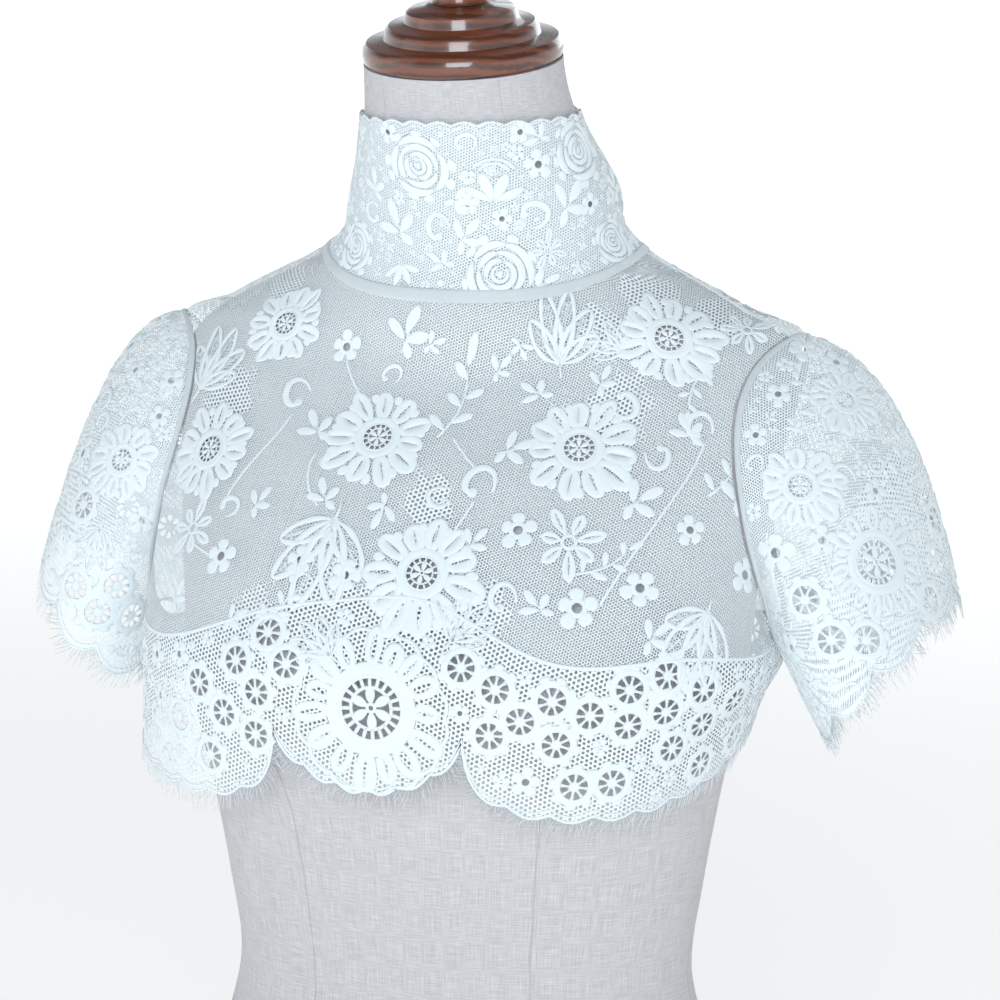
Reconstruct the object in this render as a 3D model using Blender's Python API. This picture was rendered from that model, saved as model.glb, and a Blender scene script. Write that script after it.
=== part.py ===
"""Cropped high-neck lace top, worn by a limbless linen dress form with a turned wooden neck cap.

Frame: +Z up, the form stands on z = 0 and faces -Y, so the wearer's left is +X. Sizes are in millimetres
and become metres where a mesh is made.
"""

import math

import bmesh
import bpy
import numpy as np
from mathutils.geometry import delaunay_2d_cdt

METRES = 0.001

# Cloth
WALL = 1.0
CLEARANCE = 1.9
MID_OFFSET = CLEARANCE + WALL / 2
SEAM_GAP = 0.3
BAND_WIDTH = 5.0
BAND_WALL = 1.2

# Mesh spacing
BODICE_SPACING = 17.5
TUBE_SPACING = 16.0
HEM_SPACING = 5.6
FORM_SIDES = 48

# The dress form's horizontal sections: half width, front and back depth from the centre line, and roundness
FORM_COLUMNS = ("z", "half", "front", "back", "centre", "power")
FORM_SECTIONS = (
    (0, 152, 92, 100, 5, 2.2),
    (60, 168, 103, 112, 5, 2.2),
    (120, 157, 98, 104, 3, 2.2),
    (170, 134, 90, 91, 1, 2.1),
    (215, 124, 84, 83, 0, 2.1),
    (260, 130, 88, 87, 0, 2.1),
    (305, 138, 95, 91, 0, 2.1),
    (340, 145, 101, 95, 1, 2.2),
    (380, 151, 106, 99, 4, 2.3),
    (430, 156, 104, 100, 11, 2.3),
    (480, 162, 92, 96, 22, 2.3),
    (520, 169, 76, 84, 36, 2.2),
    (540, 167, 70, 70, 42, 2.0),
    (553, 156, 68, 58, 44, 1.9),
    (565, 136, 62, 50, 44, 1.85),
    (578, 110, 52, 44, 44, 1.85),
    (592, 80, 40, 38, 44, 1.85),
    (606, 48, 26, 26, 44, 1.9),
    (620, 14, 10, 10, 44, 2.0),
    (760, 2, 2, 2, 44, 2.0),
)
BUST = {"x": 74.0, "z": 388.0, "rise": 20.0, "spread_x": 42.0, "spread_z": 46.0}

FORM_LEVELS = (0, 60, 110, 160, 215, 265, 310, 350, 385, 415, 445, 475, 500, 520, 536, 548)
FORM_LEVELS += (557, 566, 575, 584, 593, 603, 615, 630, 650, 672)

# The neck leans forward as it rises
NECK_COLUMNS = ("z", "half", "depth", "centre")
NECK_SECTIONS = (
    (0, 10, 10, 40),
    (500, 40, 40, 40),
    (566, 66, 60, 37),
    (592, 73, 58, 36),
    (616, 70, 57, 33),
    (638, 63, 56, 25),
    (660, 57, 54, 15),
    (679, 53.2, 52.5, 5),
    (694, 52.0, 52.0, 0),
    (760, 52.0, 52.0, -16),
)
NECK_BLEND = 34.0
NECK_TOP = 694.0
NECK_TILT = 0.17

# Where the cloth hangs clear of the form: left is +X, right is -X
HANG_COLUMNS = ("z", "left", "right", "front", "back", "centre", "power")
HANG_SECTIONS = (
    (0, 90, 90, 60, 60, 4, 2.2),
    (285, 138, 176, 118, 112, 4, 2.2),
    (306, 141, 175, 119, 112, 4, 2.2),
    (330, 147, 173, 121, 112, 4, 2.3),
    (360, 158, 173, 123, 111, 5, 2.4),
    (388, 170, 173, 124, 110, 6, 2.5),
    (420, 170, 171, 116, 109, 9, 2.5),
    (460, 168, 169, 100, 106, 16, 2.5),
    (500, 171, 171, 80, 97, 28, 2.4),
    (530, 174, 174, 64, 78, 38, 2.2),
    (553, 172, 172, 50, 52, 43, 1.9),
    (566, 120, 120, 34, 36, 44, 1.9),
    (580, 40, 40, 20, 20, 44, 1.9),
    (760, 2, 2, 2, 2, 44, 2.0),
)
HANG_BLEND = 10.0

# Folds that open towards the hem: direction in degrees from the front, width, and outward reach at the hem
FOLDS = (
    (-103, 11, 7),
    (-84, 9, -7),
    (-68, 10, 6),
    (-44, 10, 3),
    (20, 9, -3),
    (44, 10, 4),
    (70, 11, -3),
    (104, 10, 4),
    (132, 12, -4),
    (158, 11, 5),
    (-130, 12, -4),
    (-156, 11, 5),
)
FOLD_TOP = 395.0
FOLD_LENGTH = 95.0

# The bodice is read along rays from a point inside the chest
CHEST = np.array((0.0, 38.0, 450.0))
PANEL_SCALE = 180.0

# Neck seam, an egg-shaped ring that dips at the front
SEAM_HALF = 87.0
SEAM_FRONT = 70.0
SEAM_BACK = 54.0
SEAM_CENTRE_Y = 45.0
SEAM_SIDE_Z = 596.0
SEAM_FRONT_DROP = 30.0
SEAM_BACK_RISE = 8.0
SEAM_STEPS = 56

# Armhole loop, seen from the side, and the shoulder and side seams
ARMHOLE_CENTRE = (28.0, 470.0)
ARMHOLE_HALF = (63.0, 84.0)
ARMHOLE_X = 172.0
ARMHOLE_STEPS = 48
EDGE_ROOM_TOP = 0.9
EDGE_ROOM_LOW = 4.2
SHOULDER_TIP_Y = 32.0
SIDE_SEAM_Y = 24.0
SIDE_SEAM_DEGREES = 94.0

# Hem scallops between notches: directions in degrees from the front, depth, lean towards the first notch
# and small lobes in each
NOTCH_Z = 362.0
SCALLOPS = (
    (-24, 13, 30, 1.0, 6),
    (13, 84, 42, 0.6, 9),
    (84, 124, 30, 1.0, 5),
    (124, 180, 38, 1.0, 7),
    (-24, -84, 42, 0.6, 8),
    (-84, -124, 30, 1.0, 5),
    (-124, -180, 38, 1.0, 7),
)
LOBE_DEPTH = 3.5

# Lace wheels near the hem, cut through: direction, height of the hub, hub radius, and gaps
BODICE_WHEELS = (
    (-6, 374, 11.0, 9),
    (13, 401, 5.4, 6),
    (16, 386, 5.4, 6),
    (24, 372, 5.4, 6),
    (29, 389, 6.4, 7),
    (31, 358, 5.4, 6),
    (33, 338, 5.4, 6),
    (41, 342, 5.4, 6),
    (46, 356, 5.4, 6),
    (-25, 398, 5.4, 6),
    (-29, 372, 5.4, 6),
    (-39, 378, 5.4, 6),
    (-37, 356, 5.4, 6),
    (-50, 350, 5.4, 6),
    (104, 366, 8.0, 7),
    (-104, 366, 8.0, 7),
    (136, 352, 5.4, 6),
    (152, 342, 5.4, 6),
    (164, 358, 5.4, 6),
    (-136, 352, 5.4, 6),
    (-152, 342, 5.4, 6),
    (-164, 358, 5.4, 6),
)
# On a sleeve: degrees from its top, forward first, share of its length, hub radius, and gaps
SLEEVE_WHEELS = (
    (38, 0.72, 9.0, 8),
    (92, 0.62, 5.4, 6),
    (-40, 0.74, 5.4, 6),
)
GAP_RADIUS = 2.4
GAP_SIDES = 5

# Sleeve: cuff ring in its own slanting plane, and how far the crown bulges
CUFF_CENTRES = {1: (227.0, 24.0, 380.0), -1: (-216.0, 24.0, 388.0)}
CUFF_TOP = (31.0, 9.0, 34.0)
CUFF_FRONT = (0.0, -66.0, -2.0)
CROWN_BULGE = (15.0, 0.0, 64.0)
SIDE_BULGE = 14.0
CUFF_SCALLOPS = 9
CUFF_DEPTH = 9.0
SLEEVE_DOMAIN = (56.0, 130.0)

# Collar
COLLAR_TOP_FRONT = 663.0
COLLAR_TOP_BACK = 667.0
COLLAR_EASE = 4.0
COLLAR_SCALLOPS = 26
COLLAR_SCALLOP_DEPTH = 2.0
COLLAR_RADIUS = 64.0
OPENING_GAP = 0.5
BUTTONS = 3
BUTTON_HEIGHTS = (612.0, 656.0)
BUTTON_RADIUS = 4.2
BUTTON_DEPTH = 2.6

# Turned cap on the neck: radius and height of each step, from the disc upward
CAP_STEPS = (
    (51.0, 0.0),
    (52.2, 5.5),
    (51.0, 11.0),
    (39.5, 12.5),
    (39.5, 19.0),
    (29.0, 20.5),
    (29.0, 27.0),
    (16.5, 30.0),
)
KNOB_STEPS = (
    (15.4, 30.3),
    (13.0, 38.0),
    (16.0, 43.0),
    (19.5, 50.0),
    (17.5, 57.5),
    (9.0, 62.0),
)
CAP_SIDES = 40

COLOURS = {
    "lace": ((0.84, 0.88, 0.90, 1.0), 0.75),
    "tape": ((0.88, 0.91, 0.93, 1.0), 0.6),
    "linen": ((0.62, 0.57, 0.52, 1.0), 0.9),
    "wood": ((0.12, 0.03, 0.015, 1.0), 0.25),
    "button": ((0.86, 0.87, 0.86, 1.0), 0.3),
}


def table(columns, rows):
    """A table's columns as arrays, by name."""
    return dict(zip(columns, np.array(rows, float).T))


FORM = table(FORM_COLUMNS, FORM_SECTIONS)
NECK = table(NECK_COLUMNS, NECK_SECTIONS)
HANG = table(HANG_COLUMNS, HANG_SECTIONS)


def read_column(sections, name, z):
    """One column of a section table at heights z, on a smooth curve that doesn't overshoot."""
    heights, values = sections["z"], sections[name]
    steps = np.diff(heights)
    slopes = np.diff(values) / steps
    tangents = np.zeros_like(values)
    same = slopes[1:] * slopes[:-1] > 0
    total = np.where(same, slopes[1:] + slopes[:-1], 1.0)
    tangents[1:-1] = np.where(same, 2 * slopes[1:] * slopes[:-1] / total, 0.0)
    z = np.clip(z, heights[0], heights[-1])
    i = np.clip(np.searchsorted(heights, z) - 1, 0, len(steps) - 1)
    t = (z - heights[i]) / steps[i]
    rise = values[i + 1] - values[i]
    blend = t * t * (3 - 2 * t)
    ends = steps[i] * t * (1 - t) * ((1 - t) * tangents[i] - t * tangents[i + 1])
    return values[i] + rise * blend + ends


def smooth_min(a, b, width):
    """The lesser of two distances, rounded where they meet."""
    near = np.clip(width - np.abs(a - b), 0, None) / width
    return np.minimum(a, b) - near * near * width / 4


def section_distance(x, y, half, depth, centre, power):
    """How far points lie outside a flattened round section, in its own plane."""
    across = np.abs(x) / half
    along = np.abs(y - centre) / depth
    ratio = np.maximum((across**power + along**power) ** (1 / power), 1e-6)
    return np.hypot(x, y - centre) * (1 - 1 / ratio)


def raw_form_distance(points):
    """Horizontal distance of points from the dress form's skin."""
    x, y, z = points.T
    centre = read_column(FORM, "centre", z)
    bump = np.exp(-(((np.abs(x) - BUST["x"]) / BUST["spread_x"]) ** 2) - ((z - BUST["z"]) / BUST["spread_z"]) ** 2)
    front = read_column(FORM, "front", z) + BUST["rise"] * bump
    depth = np.where(y < centre, front, read_column(FORM, "back", z))
    torso = section_distance(x, y, read_column(FORM, "half", z), depth, centre, read_column(FORM, "power", z))
    neck_centre = read_column(NECK, "centre", z)
    neck = section_distance(x, y, read_column(NECK, "half", z), read_column(NECK, "depth", z), neck_centre, 2)
    return smooth_min(torso, neck, NECK_BLEND)


def form_distance(points):
    """True distance of nearby points from the dress form's skin."""
    step = 0.5
    slope = np.zeros(len(points))
    for axis in np.eye(3) * step:
        slope += ((raw_form_distance(points + axis) - raw_form_distance(points - axis)) / (2 * step)) ** 2
    return raw_form_distance(points) / np.sqrt(np.maximum(slope, 0.04))


def direction_of(points):
    """Degrees from the front, positive towards the wearer's left."""
    return np.degrees(np.arctan2(points[:, 0], CHEST[1] - points[:, 1]))


def fold_reach(points):
    """Outward reach of the folds, none above the bust and full at the hem."""
    turn = direction_of(points)
    open_share = np.clip((FOLD_TOP - points[:, 2]) / FOLD_LENGTH, 0, 1) ** 1.5
    total = np.zeros(len(points))
    for direction, width, reach in FOLDS:
        away = (turn - direction + 180) % 360 - 180
        total += reach * np.exp(-((away / width) ** 2))
    return total * open_share


def cloth_distance(points):
    """Distance of points from the middle of the cloth's wall."""
    x, y, z = points.T
    centre = read_column(HANG, "centre", z)
    half = np.where(x > 0, read_column(HANG, "left", z), read_column(HANG, "right", z))
    depth = np.where(y < centre, read_column(HANG, "front", z), read_column(HANG, "back", z))
    hang = section_distance(x, y, half, depth, centre, read_column(HANG, "power", z)) - fold_reach(points)
    return smooth_min(form_distance(points) - MID_OFFSET, hang, HANG_BLEND)


def collar_distance(points):
    """Distance of points from the collar's wall, which stands off the neck on the wearer's left."""
    x, y, z = points.T
    side = np.clip(x / np.hypot(x, y - SEAM_CENTRE_Y), 0, 1)
    height = np.clip((z - SEAM_SIDE_Z) / (COLLAR_TOP_FRONT - SEAM_SIDE_Z), 0, 1)
    return form_distance(points) - MID_OFFSET - COLLAR_EASE * side * np.sin(math.pi * height) ** 2


def cast(starts, directions, distance, reach=330.0):
    """Points where rays from inside leave a surface."""
    low = np.zeros(len(starts))
    high = np.full(len(starts), reach)
    for _ in range(26):
        middle = (low + high) / 2
        inside = distance(starts + directions * middle[:, None]) < 0
        low = np.where(inside, middle, low)
        high = np.where(inside, high, middle)
    return starts + directions * ((low + high) / 2)[:, None]


def wrap_point(direction, z):
    """Points of the bodice at directions in degrees and heights."""
    turn = np.radians(np.atleast_1d(np.asarray(direction, float)))
    z = np.broadcast_to(np.asarray(z, float), turn.shape)
    starts = np.stack((np.zeros_like(turn), np.full_like(turn, CHEST[1]), z), axis=1)
    rays = np.stack((np.sin(turn), -np.cos(turn), np.zeros_like(turn)), axis=1)
    return cast(starts, rays, cloth_distance)


def to_panel(points, facing):
    """Flat place of points on a panel that faces -Y (facing -1) or +Y (facing 1)."""
    rays = points - CHEST
    rays = rays / np.linalg.norm(rays, axis=1)[:, None]
    angle = np.arccos(np.clip(rays[:, 1] * facing, -1, 1))
    length = np.maximum(np.hypot(rays[:, 0], rays[:, 2]), 1e-9)
    return PANEL_SCALE * angle[:, None] * rays[:, (0, 2)] / length[:, None]


def bodice_point(facing):
    """A function from a panel's flat places to points on the cloth."""

    def place(flat):
        angle = np.maximum(np.linalg.norm(flat, axis=1), 1e-9) / PANEL_SCALE
        share = np.sin(angle) / (angle * PANEL_SCALE)
        rays = np.stack((flat[:, 0] * share, facing * np.cos(angle), flat[:, 1] * share), axis=1)
        return cast(np.broadcast_to(CHEST, rays.shape), rays, cloth_distance)

    return place


def neck_seam(turn, down=0.0):
    """Points of the neck seam at turns in radians, 0 at the wearer's left and -pi/2 at the front."""
    front = np.sin(turn) < 0
    depth = np.where(front, SEAM_FRONT, SEAM_BACK)
    rise = np.where(front, SEAM_FRONT_DROP, SEAM_BACK_RISE)
    outward = np.stack((0.72 * np.cos(turn), 0.72 * np.sin(turn), np.full_like(turn, -0.69)), axis=1)
    ring = np.stack(
        (SEAM_HALF * np.cos(turn), SEAM_CENTRE_Y + depth * np.sin(turn), SEAM_SIDE_Z + rise * np.sin(turn)), axis=1
    )
    return ring + outward * np.asarray(down).reshape(-1, 1)


def seam_on_cloth(turn, down):
    """Points of the cloth near the neck seam."""
    rays = neck_seam(turn, down) - CHEST
    rays = rays / np.linalg.norm(rays, axis=1)[:, None]
    return cast(np.broadcast_to(CHEST, rays.shape), rays, cloth_distance)


def cloth_normals(points):
    """Unit normals of the cloth at points on it."""
    slope = [cloth_distance(points + axis) - cloth_distance(points - axis) for axis in np.eye(3) * 0.5]
    slope = np.stack(slope, axis=1)
    return slope / np.linalg.norm(slope, axis=1)[:, None]


def armhole(turn, side, grow=0.0):
    """Points of an armhole loop at turns in radians from its top, forward first. side is 1 at the wearer's left."""
    y = ARMHOLE_CENTRE[0] - (ARMHOLE_HALF[0] + grow) * np.sin(turn)
    z = ARMHOLE_CENTRE[1] + (ARMHOLE_HALF[1] + grow) * np.cos(turn)
    flat_loop = np.stack((np.full_like(turn, side * ARMHOLE_X), y, z), axis=1)
    rays = flat_loop - CHEST
    rays = rays / np.linalg.norm(rays, axis=1)[:, None]
    return cast(np.broadcast_to(CHEST, rays.shape), rays, cloth_distance)


def hem_height(direction):
    """Height of the hem at directions in degrees: deep scallops edged with small lobes."""
    z = np.full_like(direction, NOTCH_Z)
    for first, last, depth, lean, lobes in SCALLOPS:
        t = (direction - first) / (last - first)
        inside = (t >= 0) & (t <= 1)
        t = np.clip(t, 0, 1)
        deep = depth * np.sin(math.pi * t**lean) ** 0.55
        small = LOBE_DEPTH * np.abs(np.sin(lobes * math.pi * t))
        z = np.where(inside, NOTCH_Z - deep - small, z)
    return z


def hem_points(start, end):
    """The hem between two directions, in degrees."""
    count = int(abs(end - start) * math.radians(1) * 150 / HEM_SPACING)
    direction = np.linspace(start, end, count)
    return wrap_point(direction, hem_height(direction))


def line_points(start, end, count):
    """Points on a straight line, both ends included."""
    share = np.linspace(0, 1, count)[:, None]
    return np.asarray(start) * (1 - share) + np.asarray(end) * share


def edge_room(turn):
    """Room left round an armhole for the sleeve's band, more at the underarm, where both run downward."""
    return EDGE_ROOM_TOP + (EDGE_ROOM_LOW - EDGE_ROOM_TOP) * (1 - np.cos(turn)) / 2


def side_run(side, facing):
    """One side of a bodice panel from the neck to the hem: shoulder, armhole and side seam, as flat places."""
    shift = np.array((0.0, facing * (SEAM_GAP / 2 + 0.1), 0.0))
    tip_z = ARMHOLE_CENTRE[1] + ARMHOLE_HALF[1] + EDGE_ROOM_TOP
    pit_z = ARMHOLE_CENTRE[1] - ARMHOLE_HALF[1] - EDGE_ROOM_LOW
    neck_end = neck_seam(np.array([shoulder_turn(side, facing)]), BAND_WIDTH / 2 + SEAM_GAP)[0]
    tip = np.array((side * ARMHOLE_X, SHOULDER_TIP_Y, tip_z))
    armpit = np.array((side * ARMHOLE_X, SIDE_SEAM_Y, pit_z))
    turn = np.linspace(0, -facing * math.pi, ARMHOLE_STEPS // 2 + 1)[1:-1]
    loop = armhole(turn, side, edge_room(turn))
    low_turn = side * side_turn(facing)
    hem_end = wrap_point(low_turn, hem_height(np.array([low_turn])))[0]
    runs = (line_points(neck_end, tip, 7) + shift, loop, line_points(armpit + shift, hem_end, 6))
    return np.concatenate([to_panel(run, facing) for run in runs])


def shoulder_turn(side, facing):
    """Turn round the neck at which a panel's shoulder seam starts."""
    return 0.04 * facing if side == 1 else math.pi - 0.04 * facing


def side_turn(facing):
    """Direction in degrees of a side seam's lower end, a little apart on the front and back."""
    return SIDE_SEAM_DEGREES + facing * math.degrees((SEAM_GAP / 2 + 0.1) / 160.0)


def panel_outline(facing, sides):
    """A bodice panel's flat outline. sides holds 1 for the wearer's left, -1 for the right, or both."""
    neck_down = BAND_WIDTH / 2 + SEAM_GAP
    if len(sides) == 2:
        hem = to_panel(hem_points(side_turn(facing), -side_turn(facing))[1:-1], facing)
        turns = np.linspace(shoulder_turn(-1, facing), shoulder_turn(1, facing) + 2 * math.pi, 36)
        neck = to_panel(neck_seam(turns, neck_down)[1:-1], facing)
        return np.concatenate((side_run(1, facing), hem, side_run(-1, facing)[::-1], neck))
    side = sides[0]
    hem = to_panel(hem_points(side * side_turn(facing), side * 180.0)[1:-1], facing)
    turns = np.linspace(math.pi / 2, shoulder_turn(side, facing), 18)[1:-1]
    neck = to_panel(neck_seam(turns, neck_down), facing)
    middle_top = neck_seam(np.array([math.pi / 2]), neck_down)[0]
    middle_low = wrap_point(180.0, hem_height(np.array([180.0])))[0]
    centre = to_panel(line_points(middle_low, middle_top, 16), facing)
    centre[:, 0] = side * OPENING_GAP / 2
    return np.concatenate((side_run(side, facing), hem, centre, neck))


def gap_outlines(centre, hub, gaps):
    """Flat outlines of the gaps of one lace wheel, set in a ring round its hub."""
    turns = np.arange(gaps) * 2 * math.pi / gaps
    corners = np.arange(GAP_SIDES) * 2 * math.pi / GAP_SIDES
    outlines = []
    for turn in turns:
        middle = np.asarray(centre) + hub * np.array((math.cos(turn), math.sin(turn)))
        ring = np.stack((np.cos(corners + turn), np.sin(corners + turn)), axis=1) * GAP_RADIUS
        outlines.append(middle + ring)
    return outlines


def inside_polygon(points, polygon):
    """Whether each flat point lies inside a polygon."""
    x, y = points[:, 0][:, None], points[:, 1][:, None]
    x0, y0 = polygon[:, 0][None], polygon[:, 1][None]
    x1, y1 = np.roll(polygon[:, 0], -1)[None], np.roll(polygon[:, 1], -1)[None]
    crosses = (y0 > y) != (y1 > y)
    span = np.where(y1 == y0, 1e-12, y1 - y0)
    return (np.count_nonzero(crosses & (x < x0 + (y - y0) * (x1 - x0) / span), axis=1) % 2) == 1


def inner_grid(outline, holes, spacing):
    """Evenly staggered flat places inside an outline, clear of its edge and its holes."""
    low, high = outline.min(axis=0), outline.max(axis=0)
    rows = []
    for k, v in enumerate(np.arange(low[1], high[1], spacing * 0.87)):
        u = np.arange(low[0] + (k % 2) * spacing / 2, high[0], spacing)
        rows.append(np.stack((u, np.full_like(u, v)), axis=1))
    grid = np.concatenate(rows)
    grid = grid[inside_polygon(grid, outline)]
    for ring, room in [(outline, 0.55 * spacing)] + [(hole, 0.4 * spacing) for hole in holes]:
        reach = np.linalg.norm(grid[:, None] - ring[None], axis=2).min(axis=1)
        grid = grid[reach > room]
    return grid


def triangulate(outline, holes, spacing):
    """Flat places and triangles that fill an outline and leave its holes open."""
    rings = [outline] + holes
    places = np.concatenate(rings + [inner_grid(outline, holes, spacing)])
    edges = []
    first = 0
    for ring in rings:
        count = len(ring)
        edges += [(first + i, first + (i + 1) % count) for i in range(count)]
        first += count
    flat, _, faces, _, _, _ = delaunay_2d_cdt([tuple(p) for p in places], edges, [], 0, 1e-5)
    flat = np.array([tuple(p) for p in flat])
    faces = np.array(faces)
    middles = flat[faces].mean(axis=1)
    keep = inside_polygon(middles, outline)
    for hole in holes:
        keep &= ~inside_polygon(middles, hole)
    return flat, faces[keep]


def wall_normals(flat, place):
    """Unit normals of a surface at flat places."""
    step = 0.6
    across = place(flat + (step, 0)) - place(flat - (step, 0))
    along = place(flat + (0, step)) - place(flat - (0, step))
    normals = np.cross(across, along)
    return normals / np.maximum(np.linalg.norm(normals, axis=1), 1e-9)[:, None]


def solid_sheet(flat, faces, place, wall=WALL):
    """Vertices and triangles of a closed wall built on both sides of a surface."""
    middle = place(flat)
    normals = wall_normals(flat, place)
    count = len(flat)
    vertices = np.concatenate((middle + normals * wall / 2, middle - normals * wall / 2))
    edge_use = {}
    for face in faces:
        for a, b in zip(face, np.roll(face, -1)):
            edge_use[(int(a), int(b))] = True
    rim = [(a, b) for a, b in edge_use if (b, a) not in edge_use]
    sides = [(b, a, a + count) for a, b in rim] + [(b, a + count, b + count) for a, b in rim]
    triangles = [tuple(f) for f in faces] + [tuple(f[::-1] + count) for f in faces] + sides
    return vertices, triangles


def add_material(name):
    """The material of one kind of surface, made once."""
    if name in bpy.data.materials:
        return bpy.data.materials[name]
    colour, roughness = COLOURS[name]
    material = bpy.data.materials.new(name)
    material.use_nodes = True
    shader = material.node_tree.nodes["Principled BSDF"]
    shader.inputs["Base Color"].default_value = colour
    shader.inputs["Roughness"].default_value = roughness
    return material


def add_object(name, vertices, faces, material):
    """A mesh object with its faces turned outward."""
    mesh = bpy.data.meshes.new(name)
    mesh.from_pydata([tuple(v) for v in np.asarray(vertices) * METRES], [], [tuple(int(i) for i in f) for f in faces])
    shape = bmesh.new()
    shape.from_mesh(mesh)
    used = [v for v in shape.verts if not v.link_faces]
    bmesh.ops.delete(shape, geom=used, context="VERTS")
    bmesh.ops.recalc_face_normals(shape, faces=shape.faces)
    shape.to_mesh(mesh)
    shape.free()
    mesh.shade_smooth()
    mesh.set_sharp_from_angle(angle=math.radians(40))
    mesh.materials.append(add_material(material))
    thing = bpy.data.objects.new(name, mesh)
    bpy.context.scene.collection.objects.link(thing)
    return thing


def wheel_gaps(facing, sides):
    """The gaps cut through one bodice panel."""
    outlines = []
    for direction, z, hub, gaps in BODICE_WHEELS:
        on_front = abs(direction) < 90
        if on_front != (facing < 0):
            continue
        if not on_front and np.sign(direction) not in sides:
            continue
        centre = to_panel(wrap_point(direction, z), facing)[0]
        outlines += gap_outlines(centre, hub, int(gaps))
    return outlines


def add_bodice():
    """Front and two backs."""
    panels = (("front", -1, (1, -1)), ("back_left", 1, (1,)), ("back_right", 1, (-1,)))
    for name, facing, sides in panels:
        outline = panel_outline(facing, list(sides))
        flat, faces = triangulate(outline, wheel_gaps(facing, sides), BODICE_SPACING)
        vertices, triangles = solid_sheet(flat, faces, bodice_point(facing))
        add_object(name, vertices, triangles, "lace")


def sleeve_point(side):
    """A function from a sleeve's flat places, round and along, to points on its cloth."""

    def place(flat):
        turn = flat[:, 0] / SLEEVE_DOMAIN[0]
        share = (flat[:, 1] / SLEEVE_DOMAIN[1])[:, None]
        start = armhole(turn, side)
        cuff = np.cos(turn)[:, None] * CUFF_TOP + np.sin(turn)[:, None] * CUFF_FRONT
        cuff[:, 0] *= side
        cuff += CUFF_CENTRES[side]
        crown = (((1 + np.cos(turn)) / 2) ** 2)[:, None] * CROWN_BULGE
        crown[:, 0] *= side
        crown[:, 1] -= SIDE_BULGE * np.sin(turn)
        middle = (start + cuff) / 2 + crown
        return (1 - share) ** 2 * start + 2 * share * (1 - share) * middle + share**2 * cuff

    return place


def sleeve_length(turn, side):
    """Length of the sleeve along each of its lines."""
    place = sleeve_point(side)
    shares = np.linspace(0, SLEEVE_DOMAIN[1], 9)
    rows = [place(np.stack((turn * SLEEVE_DOMAIN[0], np.full_like(turn, s)), axis=1)) for s in shares]
    return sum(np.linalg.norm(b - a, axis=1) for a, b in zip(rows, rows[1:]))


def sleeve_edge(turn, side, distance):
    """Flat places a given distance from the armhole, along the sleeve's lines."""
    share = SLEEVE_DOMAIN[1] * distance / sleeve_length(turn, side)
    return np.stack((turn * SLEEVE_DOMAIN[0], share), axis=1)


def cuff_edge(turn, side):
    """Flat places of the scalloped cuff."""
    length = sleeve_length(turn, side)
    notch = CUFF_DEPTH * (1 - np.abs(np.sin(CUFF_SCALLOPS * turn / 2)) ** 0.7)
    return np.stack((turn * SLEEVE_DOMAIN[0], SLEEVE_DOMAIN[1] * (1 - notch / length)), axis=1)


def add_sleeves():
    """Each sleeve is a tube in two nodes, which meet along its crown and its underarm."""
    gap = (SEAM_GAP / 2 + 0.1) / SLEEVE_DOMAIN[0]
    for side, side_name in ((1, "left"), (-1, "right")):
        for half_name, start, end in (("front", 0.0, math.pi), ("back", -math.pi, 0.0)):
            turn = np.linspace(start, end, ARMHOLE_STEPS // 2 + 1)
            turn[0] += gap
            turn[-1] -= gap
            top = sleeve_edge(turn, side, BAND_WIDTH + 2 * SEAM_GAP)
            low_turn = np.linspace(turn[0], turn[-1], 52)
            low = cuff_edge(low_turn, side)
            rise = np.linspace(0, 1, 9)[1:-1, None]
            last = top[-1] * (1 - rise) + low[-1] * rise
            first = low[0] * (1 - rise) + top[0] * rise
            outline = np.concatenate((top, last, low[::-1], first))
            holes = []
            for degrees, share, hub, gaps in SLEEVE_WHEELS:
                if start < math.radians(degrees) < end:
                    centre = (math.radians(degrees) * SLEEVE_DOMAIN[0], share * SLEEVE_DOMAIN[1])
                    holes += gap_outlines(centre, hub, int(gaps))
            flat, faces = triangulate(outline, holes, TUBE_SPACING)
            vertices, triangles = solid_sheet(flat, faces, sleeve_point(side))
            add_object(f"sleeve_{side_name}_{half_name}", vertices, triangles, "lace")


def add_armhole_bands():
    """A closed band round the start of each sleeve."""
    turn = np.linspace(0, 2 * math.pi, ARMHOLE_STEPS, endpoint=False)
    for side, side_name in ((1, "left"), (-1, "right")):
        place = sleeve_point(side)
        rows = [sleeve_edge(turn, side, d) for d in (SEAM_GAP, BAND_WIDTH + SEAM_GAP)]
        points = []
        for sign in (1, -1):
            for row in rows:
                points.append(place(row) + sign * wall_normals(row, place) * BAND_WALL / 2)
        order = (points[0], points[1], points[3], points[2])
        add_ring(f"armhole_band_{side_name}", order, True, "tape")


def add_ring(name, rows, closed, material):
    """A four-sided bar whose corners follow four rows of points, closed on itself or with two ends."""
    count = len(rows[0])
    vertices = np.concatenate(rows)
    faces = []
    for i in range(count if closed else count - 1):
        j = (i + 1) % count
        for k in range(4):
            m = (k + 1) % 4
            a, b, c, d = k * count + i, m * count + i, m * count + j, k * count + j
            faces += [(a, b, c), (a, c, d)]
    if not closed:
        for i in (0, count - 1):
            faces.append(tuple(k * count + i for k in range(4)))
    add_object(name, vertices, faces, material)


def back_turns(count):
    """Turns round the neck from one side of the back opening to the other."""
    gap = OPENING_GAP / 2 / (SEAM_CENTRE_Y + SEAM_BACK)
    return np.linspace(-1.5 * math.pi + gap, 0.5 * math.pi - gap, count)


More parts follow.
